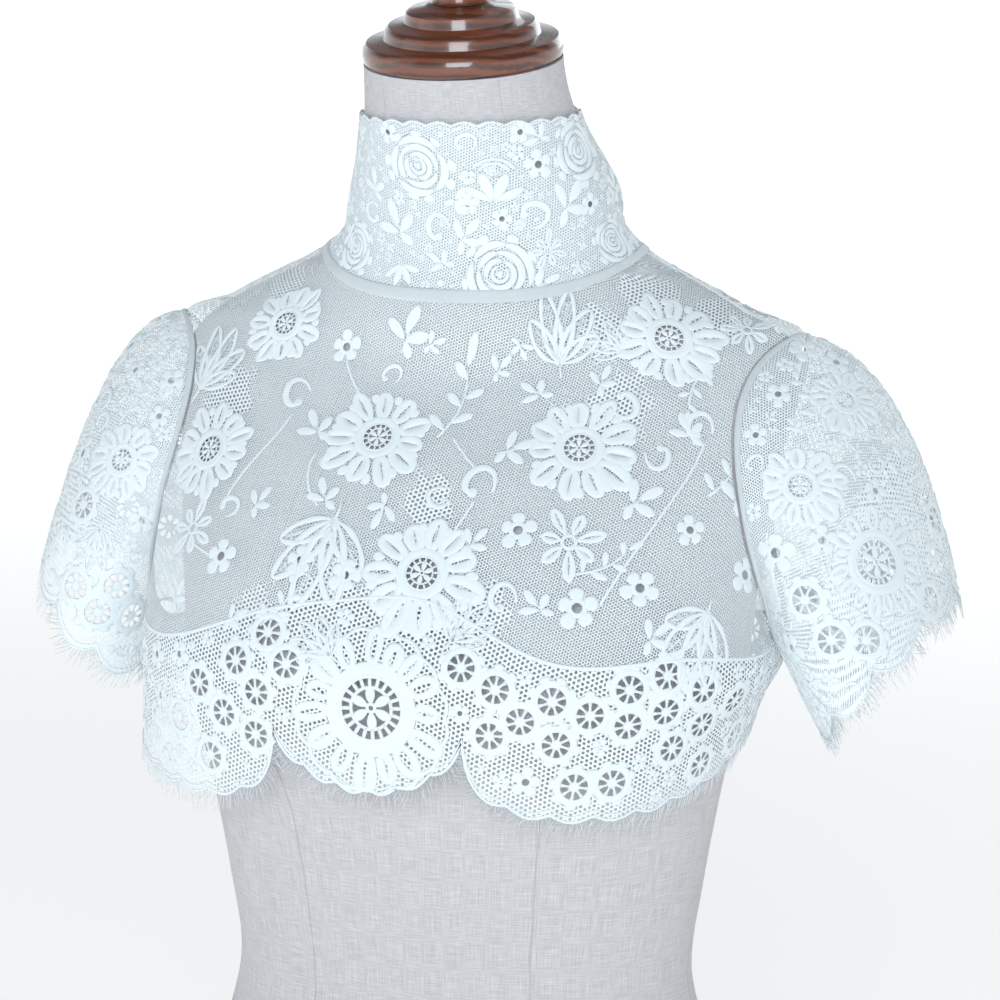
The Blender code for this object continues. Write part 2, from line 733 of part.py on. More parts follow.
def add_neck_binding():
    """A narrow band along the neck seam, open at the centre back."""
    turn = back_turns(SEAM_STEPS)
    rows = []
    for out, down in ((0.5, -0.5), (0.5, 0.5), (-0.5, 0.5), (-0.5, -0.5)):
        middle = seam_on_cloth(turn, down * BAND_WIDTH)
        rows.append(middle + cloth_normals(middle) * out * BAND_WALL)
    add_ring("neck_binding", rows, False, "tape")


def collar_point(flat):
    """Points of the collar at flat places: round the neck, and up from the seam."""
    turn = flat[:, 0] / COLLAR_RADIUS
    z = flat[:, 1]
    starts = np.stack((np.zeros_like(z), read_column(NECK, "centre", z), z), axis=1)
    rays = np.stack((np.cos(turn), np.sin(turn), np.zeros_like(z)), axis=1)
    return cast(starts, rays, collar_distance, 140.0)


def collar_seam(turn):
    """Flat places of the collar's lower edge, just above the neck binding."""
    seam = seam_on_cloth(turn, -BAND_WIDTH / 2 - SEAM_GAP)
    centre = read_column(NECK, "centre", seam[:, 2])
    around = np.unwrap(np.arctan2(seam[:, 1] - centre, seam[:, 0]))
    around += 2 * math.pi * np.round((turn[0] - around[0]) / (2 * math.pi))
    around[0], around[-1] = turn[0], turn[-1]
    return np.stack((around * COLLAR_RADIUS, seam[:, 2]), axis=1)


def collar_top(turn):
    """Height of the collar's finely scalloped top edge."""
    back = (1 + np.sin(turn)) / 2
    scallop = COLLAR_SCALLOP_DEPTH * np.abs(np.sin(COLLAR_SCALLOPS * turn / 2))
    return COLLAR_TOP_FRONT + (COLLAR_TOP_BACK - COLLAR_TOP_FRONT) * back + scallop


def add_collar():
    """A stand collar, open at the centre back."""
    turn = back_turns(SEAM_STEPS)
    low = collar_seam(turn)
    fine = np.linspace(turn[0], turn[-1], 3 * COLLAR_SCALLOPS + 1)
    top = np.stack((fine * COLLAR_RADIUS, collar_top(fine)), axis=1)
    rise = np.linspace(0, 1, 8)[1:-1, None]
    last = low[-1] * (1 - rise) + top[-1] * rise
    first = top[0] * (1 - rise) + low[0] * rise
    outline = np.concatenate((low, last, top[::-1], first))
    flat, faces = triangulate(outline, [], TUBE_SPACING)
    vertices, triangles = solid_sheet(flat, faces, collar_point)
    add_object("collar", vertices, triangles, "lace")


def add_lathe(name, steps, centre, tilt, sides, material):
    """A turned piece with flat ends, its axis leaning forward with the neck."""
    turn = np.linspace(0, 2 * math.pi, sides, endpoint=False)
    axis = np.array((0.0, -math.sin(tilt), math.cos(tilt)))
    across = np.array((1.0, 0.0, 0.0))
    along = np.cross(axis, across)
    rows = []
    for radius, height in steps:
        ring = radius * (np.cos(turn)[:, None] * across + np.sin(turn)[:, None] * along)
        rows.append(np.asarray(centre) + axis * height + ring)
    faces = []
    for k in range(len(steps) - 1):
        for i in range(sides):
            j = (i + 1) % sides
            a, b = k * sides + i, k * sides + j
            faces += [(a, b, b + sides), (a, b + sides, a + sides)]
    faces.append(tuple(range(sides))[::-1])
    faces.append(tuple((len(steps) - 1) * sides + i for i in range(sides)))
    add_object(name, np.concatenate(rows), faces, material)


def add_dress_form():
    """The limbless form, in level sections that tilt forward towards the neck's top."""
    levels = FORM_LEVELS + (NECK_TOP,)
    turn = np.linspace(0, 2 * math.pi, FORM_SIDES, endpoint=False)
    rows = []
    for level in levels:
        tilt = NECK_TILT * np.clip((level - 600) / (NECK_TOP - 600), 0, 1)
        neck_share = np.clip((level - 560) / 40, 0, 1)
        torso_y = read_column(FORM, "centre", np.array([float(level)]))[0]
        neck_y = read_column(NECK, "centre", np.array([float(level)]))[0]
        centre = np.array((0.0, torso_y * (1 - neck_share) + neck_y * neck_share, float(level)))
        rays = np.stack((np.cos(turn), np.sin(turn), tilt * np.sin(turn)), axis=1)
        rows.append(cast(np.broadcast_to(centre, rays.shape), rays, raw_form_distance))
    faces = []
    for k in range(len(levels) - 1):
        for i in range(FORM_SIDES):
            j = (i + 1) % FORM_SIDES
            a, b = k * FORM_SIDES + i, k * FORM_SIDES + j
            faces += [(a, b, b + FORM_SIDES), (a, b + FORM_SIDES, a + FORM_SIDES)]
    faces.append(tuple(range(FORM_SIDES))[::-1])
    faces.append(tuple((len(levels) - 1) * FORM_SIDES + i for i in range(FORM_SIDES)))
    add_object("dress_form", np.concatenate(rows), faces, "linen")


def add_cap():
    """Stepped wooden cap on the neck, with a round knob."""
    tilt = math.atan(NECK_TILT)
    centre = (0.0, -0.3 * math.sin(tilt), NECK_TOP + SEAM_GAP)
    add_lathe("neck_cap", CAP_STEPS, centre, tilt, CAP_SIDES, "wood")
    add_lathe("cap_knob", KNOB_STEPS, centre, tilt, CAP_SIDES // 2, "wood")


def add_buttons():
    """Small domed buttons down the collar's back opening, on the wearer's left edge."""
    turn = 0.5 * math.pi - 7.0 / COLLAR_RADIUS
    heights = np.linspace(*BUTTON_HEIGHTS, BUTTONS)
    flat = np.stack((np.full(BUTTONS, turn * COLLAR_RADIUS), heights), axis=1)
    points = collar_point(flat)
    normals = wall_normals(flat, collar_point)
    around = np.linspace(0, 2 * math.pi, 14, endpoint=False)
    for number, (point, normal) in enumerate(zip(points, normals), 1):
        normal = normal * np.sign(normal[1])
        across = np.cross(normal, (0.0, 0.0, 1.0))
        across = across / np.linalg.norm(across)
        along = np.cross(normal, across)
        ring = np.cos(around)[:, None] * across + np.sin(around)[:, None] * along
        seat = point + normal * (WALL / 2 + SEAM_GAP)
        rows = [
            seat + ring * BUTTON_RADIUS * 0.8,
            seat + ring * BUTTON_RADIUS + normal * BUTTON_DEPTH * 0.35,
            seat + ring * BUTTON_RADIUS * 0.6 + normal * BUTTON_DEPTH,
        ]
        faces = []
        sides = len(around)
        for k in range(2):
            for i in range(sides):
                j = (i + 1) % sides
                faces.append((k * sides + i, k * sides + j, (k + 1) * sides + j, (k + 1) * sides + i))
        faces.append(tuple(range(sides)))
        faces.append(tuple(2 * sides + i for i in range(sides)))
        add_object(f"collar_button_{number}", np.concatenate(rows), faces, "button")


def main():
    """Builds every piece."""
    for thing in list(bpy.data.objects):
        bpy.data.objects.remove(thing, do_unlink=True)
    add_dress_form()
    add_cap()
    add_bodice()
    add_sleeves()
    add_armhole_bands()
    add_neck_binding()
    add_collar()
    add_buttons()


main()
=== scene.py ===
"""Cropped high-neck lace top on a limbless linen dress form: its fine shapes, finishes and studio.

Sizes are in millimetres and become metres where a mesh is made. +Z is up, the form faces -Y and the wearer's
left is +X.
"""

import math
from functools import lru_cache

import bpy
import numpy as np
from mathutils import Matrix, Vector
from mathutils.geometry import delaunay_2d_cdt
from mathutils.kdtree import KDTree


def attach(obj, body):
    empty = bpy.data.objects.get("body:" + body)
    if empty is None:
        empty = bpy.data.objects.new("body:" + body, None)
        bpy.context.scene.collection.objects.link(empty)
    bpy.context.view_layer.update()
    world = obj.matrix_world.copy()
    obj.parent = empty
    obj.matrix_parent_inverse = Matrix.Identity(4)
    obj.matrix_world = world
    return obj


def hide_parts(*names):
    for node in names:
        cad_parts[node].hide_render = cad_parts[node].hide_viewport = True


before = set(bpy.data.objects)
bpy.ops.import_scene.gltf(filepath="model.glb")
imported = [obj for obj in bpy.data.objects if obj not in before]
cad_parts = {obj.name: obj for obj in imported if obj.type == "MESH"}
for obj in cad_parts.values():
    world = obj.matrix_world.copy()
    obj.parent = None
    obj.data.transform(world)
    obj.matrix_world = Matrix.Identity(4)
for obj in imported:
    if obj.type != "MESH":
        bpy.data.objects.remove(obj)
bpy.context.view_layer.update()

bl_info = {
    "name": "Lace top on a dress form",
    "version": (1, 0, 0),
    "blender": (4, 5, 0),
    "location": "3D View > Sidebar > Lace top",
    "description": "Models a cropped high-neck lace top and the dress form that wears it",
    "category": "Add Mesh",
}

METRES = 0.001
BODY = "root"
WORLD_UP = np.array((0.0, 0.0, 1.0))

# The dress form's horizontal sections: half width, front and back depth from the centre line, and roundness
FORM_COLUMNS = ("z", "half", "front", "back", "centre", "power")
FORM_SECTIONS = (
    (0, 152, 92, 100, 5, 2.2),
    (60, 168, 103, 112, 5, 2.2),
    (120, 157, 98, 104, 3, 2.2),
    (170, 134, 90, 91, 1, 2.1),
    (215, 124, 84, 83, 0, 2.1),
    (260, 130, 88, 87, 0, 2.1),
    (305, 138, 95, 91, 0, 2.1),
    (340, 145, 101, 95, 1, 2.2),
    (380, 151, 106, 99, 4, 2.3),
    (430, 156, 104, 100, 11, 2.3),
    (480, 162, 92, 96, 22, 2.3),
    (520, 169, 76, 84, 36, 2.2),
    (540, 167, 70, 70, 42, 2.0),
    (553, 156, 68, 58, 44, 1.9),
    (565, 136, 62, 50, 44, 1.85),
    (578, 110, 52, 44, 44, 1.85),
    (592, 80, 40, 38, 44, 1.85),
    (606, 48, 26, 26, 44, 1.9),
    (620, 14, 10, 10, 44, 2.0),
    (760, 2, 2, 2, 44, 2.0),
)
BUST = {"x": 74.0, "z": 388.0, "rise": 20.0, "spread_x": 42.0, "spread_z": 46.0}

# The neck leans forward as it rises
NECK_COLUMNS = ("z", "half", "depth", "centre")
NECK_SECTIONS = (
    (0, 10, 10, 40),
    (500, 40, 40, 40),
    (566, 66, 60, 37),
    (592, 73, 58, 36),
    (616, 70, 57, 33),
    (638, 63, 56, 25),
    (660, 57, 54, 15),
    (679, 53.2, 52.5, 5),
    (694, 52.0, 52.0, 0),
    (760, 52.0, 52.0, -16),
)
NECK_BLEND = 34.0
NECK_TOP = 694.0
NECK_TILT = 0.17

# Seams of the linen, darkened with painted shade along their grooves: degrees round from the wearer's left,
# the back ones past a half turn
FORM_SEAMS_AND_SHADE = (-128, -52, 0, 180, 52, 90, 128)

# Where the cloth hangs clear of the form: left is +X, right is -X
HANG_COLUMNS = ("z", "left", "right", "front", "back", "centre", "power")
HANG_SECTIONS = (
    (0, 90, 90, 60, 60, 4, 2.2),
    (285, 138, 176, 118, 112, 4, 2.2),
    (306, 141, 175, 119, 112, 4, 2.2),
    (330, 147, 173, 121, 112, 4, 2.3),
    (360, 158, 173, 123, 111, 5, 2.4),
    (388, 170, 173, 124, 110, 6, 2.5),
    (420, 170, 171, 116, 109, 9, 2.5),
    (460, 168, 169, 100, 106, 16, 2.5),
    (500, 171, 171, 80, 97, 28, 2.4),
    (530, 174, 174, 64, 78, 38, 2.2),
    (553, 172, 172, 50, 52, 43, 1.9),
    (566, 120, 120, 34, 36, 44, 1.9),
    (580, 40, 40, 20, 20, 44, 1.9),
    (760, 2, 2, 2, 2, 44, 2.0),
)
HANG_BLEND = 10.0

# Folds that open towards the hem: direction in degrees from the front, width, and outward reach at the hem
FOLDS = (
    (-103, 11, 7),
    (-84, 9, -7),
    (-68, 10, 6),
    (-44, 10, 3),
    (20, 9, -3),
    (44, 10, 4),
    (70, 11, -3),
    (104, 10, 4),
    (132, 12, -4),
    (158, 11, 5),
    (-130, 12, -4),
    (-156, 11, 5),
)
FOLD_TOP = 395.0
FOLD_LENGTH = 95.0

# Cloth and its seams
MID_OFFSET = 2.4
WALL = 1.0
SEAM_GAP = 0.3
BAND_WIDTH = 5.0
CHEST = np.array((0.0, 38.0, 450.0))
PANEL_SCALE = 180.0
SEAM_HALF = 87.0
SEAM_FRONT = 70.0
SEAM_BACK = 54.0
SEAM_CENTRE_Y = 45.0
SEAM_SIDE_Z = 596.0
SEAM_FRONT_DROP = 30.0
SEAM_BACK_RISE = 8.0
ARMHOLE_CENTRE = (28.0, 470.0)
ARMHOLE_HALF = (63.0, 84.0)
ARMHOLE_X = 172.0
EDGE_ROOM_TOP = 0.9
EDGE_ROOM_LOW = 4.2
SHOULDER_TIP_Y = 32.0
SIDE_SEAM_Y = 24.0
SIDE_SEAM_DEGREES = 94.0
OPENING_GAP = 0.5

# Hem scallops between notches: directions in degrees from the front, depth, lean towards the first notch
# and small lobes in each
NOTCH_Z = 362.0
SCALLOPS = (
    (-24, 13, 30, 1.0, 6),
    (13, 84, 42, 0.6, 9),
    (84, 124, 30, 1.0, 5),
    (124, 180, 38, 1.0, 7),
    (-24, -84, 42, 0.6, 8),
    (-84, -124, 30, 1.0, 5),
    (-124, -180, 38, 1.0, 7),
)
LOBE_DEPTH = 3.5
HEM_RADIUS = 150
HEM_SPACING = 1.9

# Sleeve: cuff ring in its own slanting plane, and how far the crown bulges
CUFF_CENTRES = {1: (227.0, 24.0, 380.0), -1: (-216.0, 24.0, 388.0)}
CUFF_TOP = (31.0, 9.0, 34.0)
CUFF_FRONT = (0.0, -66.0, -2.0)
CROWN_BULGE = (15.0, 0.0, 64.0)
SIDE_BULGE = 14.0
CUFF_SCALLOPS = 9
CUFF_DEPTH = 9.0
SLEEVE_DOMAIN = (56.0, 130.0)

# Collar
COLLAR_TOP_FRONT = 663.0
COLLAR_TOP_BACK = 667.0
COLLAR_EASE = 4.0
COLLAR_SCALLOPS = 26
COLLAR_SCALLOP_DEPTH = 2.0
COLLAR_RADIUS = 64.0
BUTTON_HEIGHTS = (612.0, 634.0, 656.0)
BUTTON_RADIUS = 4.2
BUTTON_DEPTH = 2.6
BUTTON_SIDE = 7.0

# Turned cap and knob: radius and height of each step, from the disc upward
CAP_STEPS = (
    (50.0, 0.0),
    (51.8, 1.6),
    (52.4, 5.0),
    (51.8, 8.6),
    (50.0, 11.0),
    (43.0, 12.2),
    (41.0, 12.6),
    (40.4, 14.5),
    (39.8, 17.6),
    (38.0, 19.4),
    (31.5, 20.4),
    (30.0, 21.0),
    (29.4, 23.5),
    (28.6, 26.0),
    (26.5, 27.4),
    (19.0, 28.4),
    (16.5, 30.0),
)
KNOB_STEPS = (
    (15.4, 30.3),
    (13.4, 33.0),
    (13.0, 38.0),
    (14.2, 41.0),
    (16.0, 43.0),
    (18.6, 46.0),
    (19.5, 50.0),
    (19.0, 54.5),
    (17.0, 58.0),
    (13.0, 60.8),
    (7.0, 62.0),
)
CAP_SIDES = 96

# The camera of the photograph, in degrees, metres and pixels
VIEW_TURN = 17.0
VIEW_RISE = 10.0
VIEW_DISTANCE = 2000.0
PIXELS_PER_MM = 1.85
PHOTO_SIZE = 1000
AIM_RIGHT = 35.0
AIM_UP = 450.0
AIM_BASE = 215.0

COOL_WHITE = (0.89, 0.955, 1.0)
PAPER_RADIUS = 60.0
AIR_BAND = (0.14, 0.45)
AIR_GLOW = (1.13, 0.2)
PAPER_GLOW = (0.62, 1.0)
PAPER_FADE = (1.2, 4.0)

# Mesh spacing
GRID_STEP = 3.0
NET_SPACING = 3.4
TUBE_SPACING = 3.4
FORM_SIDES = 160
FORM_LEVEL_STEP = 5.0
FORM_UV_RADIUS = 130.0
CAST_STEPS = 15

# Points along a shoulder seam and a side seam, and the cord sewn inside them
SHOULDER_POINTS = 26
SIDE_POINTS = 16
SEAM_INSET = 0.9
SEAM_WIDTH = 1.3
STEM_WIDTH = 1.5

# Lace relief
PAD_HEIGHT = 0.36
CORD_HEIGHT = 0.3
LIFT = 0.1
RIM_SHARE = 0.30
RIM_RISE = 0.55
LEAST_HOLE = 1.2

# Border of the lace above the hem: its top line and where its ground turns coarse
BORDER_TOP = 397.0
BORDER_RISE = 34.0
BORDER_MIDDLE = -6.0
BORDER_SPREAD = 28.0
BORDER_FADE = 6.0
SLEEVE_BORDER = 0.55
SLEEVE_FADE = 0.08
WHEEL_RADIUS = 10.4

# Motifs by place in the photograph: pixels across and down, size in mm, and degrees clockwise from upright
FRONT_MOTIFS = {
    "hem_flower": ((371, 708, 41, 0),),
    "flower": (
        (286, 323, 25, 10), (210, 449, 28, 0), (378, 437, 29, 5), (422, 573, 32, 12), (579, 448, 30, 0),
        (669, 338, 29, 20),
    ),
    "blossom": ((569, 542, 22, -25), (193, 528, 19, 15), (747, 330, 17, 70)),
    "fan": (
        (334, 522, 42, 195), (202, 385, 36, 20), (560, 362, 33, 0), (707, 615, 36, 205), (330, 655, 24, -50),
        (452, 640, 26, 40), (622, 350, 20, -60),
    ),
    "bud": (
        (347, 347, 10, 0), (518, 530, 11, 0), (640, 588, 11, 40), (577, 608, 12, 0), (752, 400, 11, 0),
        (221, 556, 11, 0), (345, 575, 10, 20), (300, 560, 9, 0), (745, 575, 11, 20), (690, 530, 9, 0),
    ),
    "sprig": (
        (405, 340, 25, 20), (507, 450, 20, 70), (318, 432, 20, -30), (633, 503, 22, 60), (690, 436, 18, -20),
        (256, 505, 16, 30), (540, 395, 16, -60), (325, 500, 18, -20), (497, 372, 13, 40), (600, 385, 15, 20),
        (385, 505, 17, 200), (470, 545, 16, 40), (180, 420, 16, 0), (175, 600, 16, 20), (650, 640, 18, 50),
        (540, 610, 17, -40), (520, 345, 12, 160), (230, 620, 15, 60), (735, 500, 20, 20), (430, 345, 12, 70),
    ),
    "branch": (
        (450, 405, 40, 12), (722, 470, 34, 35), (277, 600, 30, 30), (600, 560, 30, 60), (700, 390, 26, 200),
    ),
    "scroll": (
        (296, 396, 12, -20), (476, 484, 13, 30), (625, 402, 11, 160), (440, 500, 9, -60), (228, 505, 9, 90),
        (500, 600, 11, 10), (390, 375, 8, 60), (660, 455, 10, 200), (697, 428, 11, 20),
    ),
}
FRONT_WHEELS = (
    (199, 682), (224, 712), (256, 734), (211, 755), (256, 692), (286, 664), (236, 660), (268, 632),
    (461, 668), (458, 705), (495, 690), (520, 722), (489, 736), (556, 745), (532, 768), (574, 787),
    (612, 783), (596, 752), (642, 765), (628, 726), (672, 748), (700, 764), (666, 712), (702, 724),
    (552, 702), (590, 716), (630, 690), (668, 676), (704, 690), (735, 700), (734, 735), (180, 716),
    (590, 680),
)
# Stems that tie motifs together, as pixels of the photograph
FRONT_STEMS = (
    ((292, 414), (270, 442), (242, 474), (224, 506)),
    ((452, 436), (470, 462), (478, 470)),
    ((316, 452), (308, 480), (318, 506)),
    ((600, 605), (640, 545), (682, 486), (704, 440)),
    ((347, 360), (352, 378), (362, 398)),
    ((506, 452), (530, 446), (548, 444)),
    ((190, 540), (205, 552), (216, 556)),
    ((475, 500), (462, 520), (448, 540)),
)
# Where the ground turns coarse round the motifs: pixels and reach in mm
FRONT_COARSE = (
    (228, 400, 17), (250, 290, 16), (428, 500, 14), (330, 600, 20), (620, 405, 17), (476, 620, 18),
    (250, 640, 20), (560, 420, 10), (700, 340, 12), (190, 320, 12), (600, 330, 12), (225, 295, 20),
    (290, 276, 16), (650, 292, 18), (722, 316, 15), (748, 308, 12),
)
SLEEVE_MOTIFS = {
    1: {
        "hem_flower": ((876, 562, 30, 0),),
        "flower": ((800, 486, 23, 0), (845, 400, 20, 20)),
        "branch": ((896, 455, 30, 20), (806, 400, 26, -20)),
        "bud": ((836, 362, 9, 0), (822, 540, 9, 0)),
        "scroll": ((842, 480, 10, 0),),
    },
    -1: {
        "flower": ((122, 460, 23, 0),),
        "fan": ((100, 530, 24, 200),),
        "branch": ((130, 400, 26, 10),),
        "bud": ((143, 520, 9, 0),),
    },
}
SLEEVE_WHEELS = {
    1: (
        (805, 600), (831, 640), (803, 570), (866, 640), (900, 632), (858, 676), (930, 600), (925, 560),
        (890, 662), (935, 520),
    ),
    -1: ((76, 586), (117, 586), (74, 545), (98, 612), (131, 616), (84, 505), (140, 575)),
}
COLLAR_MOTIFS = {
    "rose": (
        (418, 166, 19, -30), (500, 274, 20, 20), (578, 150, 18, 10), (357, 246, 15, 0), (612, 240, 14, 60),
    ),
    "tulip": ((494, 180, 24, 0), (402, 280, 17, 175)),
    "blossom": ((548, 250, 12, 0),),
    "sprig": (
        (400, 232, 23, -15), (462, 240, 18, 40), (566, 208, 23, 30), (540, 138, 15, -60), (376, 190, 16, 10),
        (455, 200, 15, 100), (540, 285, 15, 60), (444, 264, 13, -60), (615, 190, 16, 10),
    ),
    "scroll": (
        (437, 230, 10, 0), (532, 213, 11, 90), (442, 290, 10, 180), (374, 214, 8, -40), (463, 143, 8, 60),
    ),
    "bud": ((468, 204, 7, 0), (520, 132, 7, 0), (388, 132, 7, 0), (590, 204, 7, 0)),
}

# Motifs on the sides that the photograph hides, by flat place on each back
BACK_MOTIFS = {
    "flower": ((62, 92, 29, 0), (140, 40, 28, 20), (70, -20, 31, 10), (186, 118, 24, 0)),
    "blossom": ((122, -38, 21, 20),),
    "fan": ((112, 4, 34, 200), (215, 10, 30, 160), (28, 78, 28, 180)),
    "branch": ((102, 128, 34, 20), (30, 20, 32, 170), (185, 70, 32, -20)),
    "sprig": ((100, 62, 20, 30), (122, 92, 18, 60), (180, -20, 18, 40), (32, 132, 17, 0), (28, -18, 16, 30)),
    "scroll": ((160, 84, 12, 0), (40, 50, 11, 90), (94, 44, 10, 200)),
    "bud": ((160, -2, 10, 0), (86, 68, 10, 0), (150, 140, 10, 0)),
}
# Wheels near the back hem: direction in degrees and height
BACK_WHEELS = (
    (104, 366), (136, 352), (152, 342), (164, 358), (112, 350), (119, 366), (128, 364), (144, 360),
    (143, 338), (160, 336), (154, 362), (169, 340), (173, 360), (97, 352), (108, 384), (124, 380),
    (140, 378), (158, 380),
)
# Wheels and motifs on the hidden side of a sleeve: degrees from its top, share of its length, size and turn
SLEEVE_HIDDEN_WHEELS = (
    (-15, 0.86), (-28, 0.87), (-40, 0.74), (-53, 0.87), (-67, 0.84), (-82, 0.78), (-98, 0.70),
)
SLEEVE_HIDDEN_MOTIFS = {
    "flower": ((-60, 0.50, 24, 0), (-150, 0.45, 18, 0)),
    "branch": ((-20, 0.45, 30, 10), (-100, 0.42, 26, 0)),
    "scroll": ((-40, 0.25, 11, 0),),
    "bud": ((-80, 0.30, 9, 0),),
}
# Motifs on the collar's hidden side: degrees round from the wearer's left, height, size and turn
COLLAR_HIDDEN_MOTIFS = {
    "rose": ((20, 630, 19, 0), (62, 646, 17, 20), (155, 628, 19, 0), (118, 644, 17, 10)),
    "sprig": ((40, 622, 16, -20), (76, 620, 16, 20), (136, 650, 15, 40), (104, 620, 16, -10)),
    "scroll": ((42, 652, 9, 0), (84, 640, 9, 90), (138, 618, 9, 180)),
    "bud": ((96, 646, 7, 0),),
}

# Small motifs that fill what is left bare: kinds, spacing, least and largest size, and seed
BORDER_FILL = (("bud", "bud", "sprig"), 6.0, 4.2, 9.0, 11)
BACK_FILL = (("sprig", "bud", "branch"), 14.0, 10.0, 18.0, 12)
SLEEVE_FILL = (("sprig", "bud", "sprig", "scroll"), 6.0, 4.4, 12.0, 13)
COLLAR_FILL = (("sprig", "bud", "sprig"), 3.6, 2.6, 9.0, 14)

# Eyelash threads along the hem and cuffs
LASH_STEP = 1.7
LASH_LENGTH = (5.5, 10.0)
LASH_RADIUS = 0.24
LASH_SEED = 7

# A tape's width as cut and how much of it counts as cloth, in metres, then its half thickness and corners
TAPE_HALF_DEPTH = 0.85
TAPE_CORNERS = 10


def table(columns, rows):
    """A table's columns as arrays, by name."""
    return dict(zip(columns, np.array(rows, float).T))


def smooth_column(sections, name, z):
    """One column of a section table at heights z, on a smooth curve that doesn't overshoot."""
    heights, values = sections["z"], sections[name]
    steps = np.diff(heights)
    slopes = np.diff(values) / steps
    tangents = np.zeros_like(values)
    same = slopes[1:] * slopes[:-1] > 0
    total = np.where(same, slopes[1:] + slopes[:-1], 1.0)
    tangents[1:-1] = np.where(same, 2 * slopes[1:] * slopes[:-1] / total, 0.0)
    i = np.clip(np.searchsorted(heights, z) - 1, 0, len(steps) - 1)
    t = (z - heights[i]) / steps[i]
    rise = values[i + 1] - values[i]
    blend = t * t * (3 - 2 * t)
    ends = steps[i] * t * (1 - t) * ((1 - t) * tangents[i] - t * tangents[i + 1])
    return values[i] + rise * blend + ends


CURVE_HEIGHTS = np.arange(0.0, 760.25, 0.5)


def curves(columns, rows):
    """Every column of a section table as a dense curve over the heights."""
    sections = table(columns, rows)
    return {name: smooth_column(sections, name, CURVE_HEIGHTS) for name in columns[1:]}


FORM = curves(FORM_COLUMNS, FORM_SECTIONS)
NECK = curves(NECK_COLUMNS, NECK_SECTIONS)
HANG = curves(HANG_COLUMNS, HANG_SECTIONS)


def read(curve, z):
    """A dense curve at heights z."""
    return np.interp(z, CURVE_HEIGHTS, curve)


def smooth_min(a, b, width):
    """The lesser of two distances, rounded where they meet."""
    near = np.clip(width - np.abs(a - b), 0, None) / width
    return np.minimum(a, b) - near * near * width / 4


def section_distance(x, y, half, depth, centre, power):
    """How far points lie outside a flattened round section, in its own plane."""
    across = np.abs(x) / half
    along = np.abs(y - centre) / depth
    ratio = np.maximum((across**power + along**power) ** (1 / power), 1e-6)
    return np.hypot(x, y - centre) * (1 - 1 / ratio)


def raw_form_distance(points):
    """Horizontal distance of points from the dress form's skin."""
    x, y, z = points.T
    centre = read(FORM["centre"], z)
    across, along = (np.abs(x) - BUST["x"]) / BUST["spread_x"], (z - BUST["z"]) / BUST["spread_z"]
    bump = np.exp(-(across**2) - along**2)
    front = read(FORM["front"], z) + BUST["rise"] * bump
    depth = np.where(y < centre, front, read(FORM["back"], z))
    torso = section_distance(x, y, read(FORM["half"], z), depth, centre, read(FORM["power"], z))
    neck = section_distance(x, y, read(NECK["half"], z), read(NECK["depth"], z), read(NECK["centre"], z), 2)
    return smooth_min(torso, neck, NECK_BLEND)


def form_distance(points):
    """True distance of nearby points from the dress form's skin."""
    step = 0.5
    slope = np.zeros(len(points))
    for axis in np.eye(3) * step:
        slope += ((raw_form_distance(points + axis) - raw_form_distance(points - axis)) / (2 * step)) ** 2
    return raw_form_distance(points) / np.sqrt(np.maximum(slope, 0.04))


def fold_reach(points):
    """Outward reach of the folds, none above the bust and full at the hem."""
    turn = np.degrees(np.arctan2(points[:, 0], CHEST[1] - points[:, 1]))
    open_share = np.clip((FOLD_TOP - points[:, 2]) / FOLD_LENGTH, 0, 1) ** 1.5
    total = np.zeros(len(points))
    for direction, width, reach in FOLDS:
        away = (turn - direction + 180) % 360 - 180
        total += reach * np.exp(-((away / width) ** 2))
    return total * open_share


def cloth_distance(points):
    """Distance of points from the middle of the cloth's wall."""
    x, y, z = points.T
    centre = read(HANG["centre"], z)
    half = np.where(x > 0, read(HANG["left"], z), read(HANG["right"], z))
    depth = np.where(y < centre, read(HANG["front"], z), read(HANG["back"], z))
    hang = section_distance(x, y, half, depth, centre, read(HANG["power"], z)) - fold_reach(points)
    return smooth_min(form_distance(points) - MID_OFFSET, hang, HANG_BLEND)


def collar_distance(points):
    """Distance of points from the collar's wall, which stands off the neck on the wearer's left."""
    x, y, z = points.T
    side = np.clip(x / np.hypot(x, y - SEAM_CENTRE_Y), 0, 1)
    height = np.clip((z - SEAM_SIDE_Z) / (COLLAR_TOP_FRONT - SEAM_SIDE_Z), 0, 1)
    return form_distance(points) - MID_OFFSET - COLLAR_EASE * side * np.sin(math.pi * height) ** 2


def cast(starts, directions, distance, reach=330.0):
    """Points where rays from inside leave a surface, by false position with bisection where it is slow."""
    low, high = np.zeros(len(starts)), np.full(len(starts), reach)
    below, above = distance(starts), distance(starts + directions * reach)
    last = np.zeros(len(starts), int)
    for step in range(CAST_STEPS):
        share = 0.5 if step < 3 else np.clip(below / np.minimum(below - above, -1e-9), 0.02, 0.98)
        middle = low + (high - low) * share
        value = distance(starts + directions * middle[:, None])
        inside = value < 0
        above = np.where(inside, np.where(last == 1, above / 2, above), value)
        below = np.where(inside, value, np.where(last == -1, below / 2, below))
        low = np.where(inside, middle, low)
        high = np.where(inside, high, middle)
        last = np.where(inside, 1, -1)
    share = np.clip(below / np.minimum(below - above, -1e-9), 0, 1)
    return starts + directions * (low + (high - low) * share)[:, None]


def from_chest(points):
    """Points of the cloth seen from inside the chest through the given points."""
    rays = points - CHEST
    rays = rays / np.linalg.norm(rays, axis=1)[:, None]
    return cast(np.broadcast_to(CHEST, rays.shape), rays, cloth_distance)


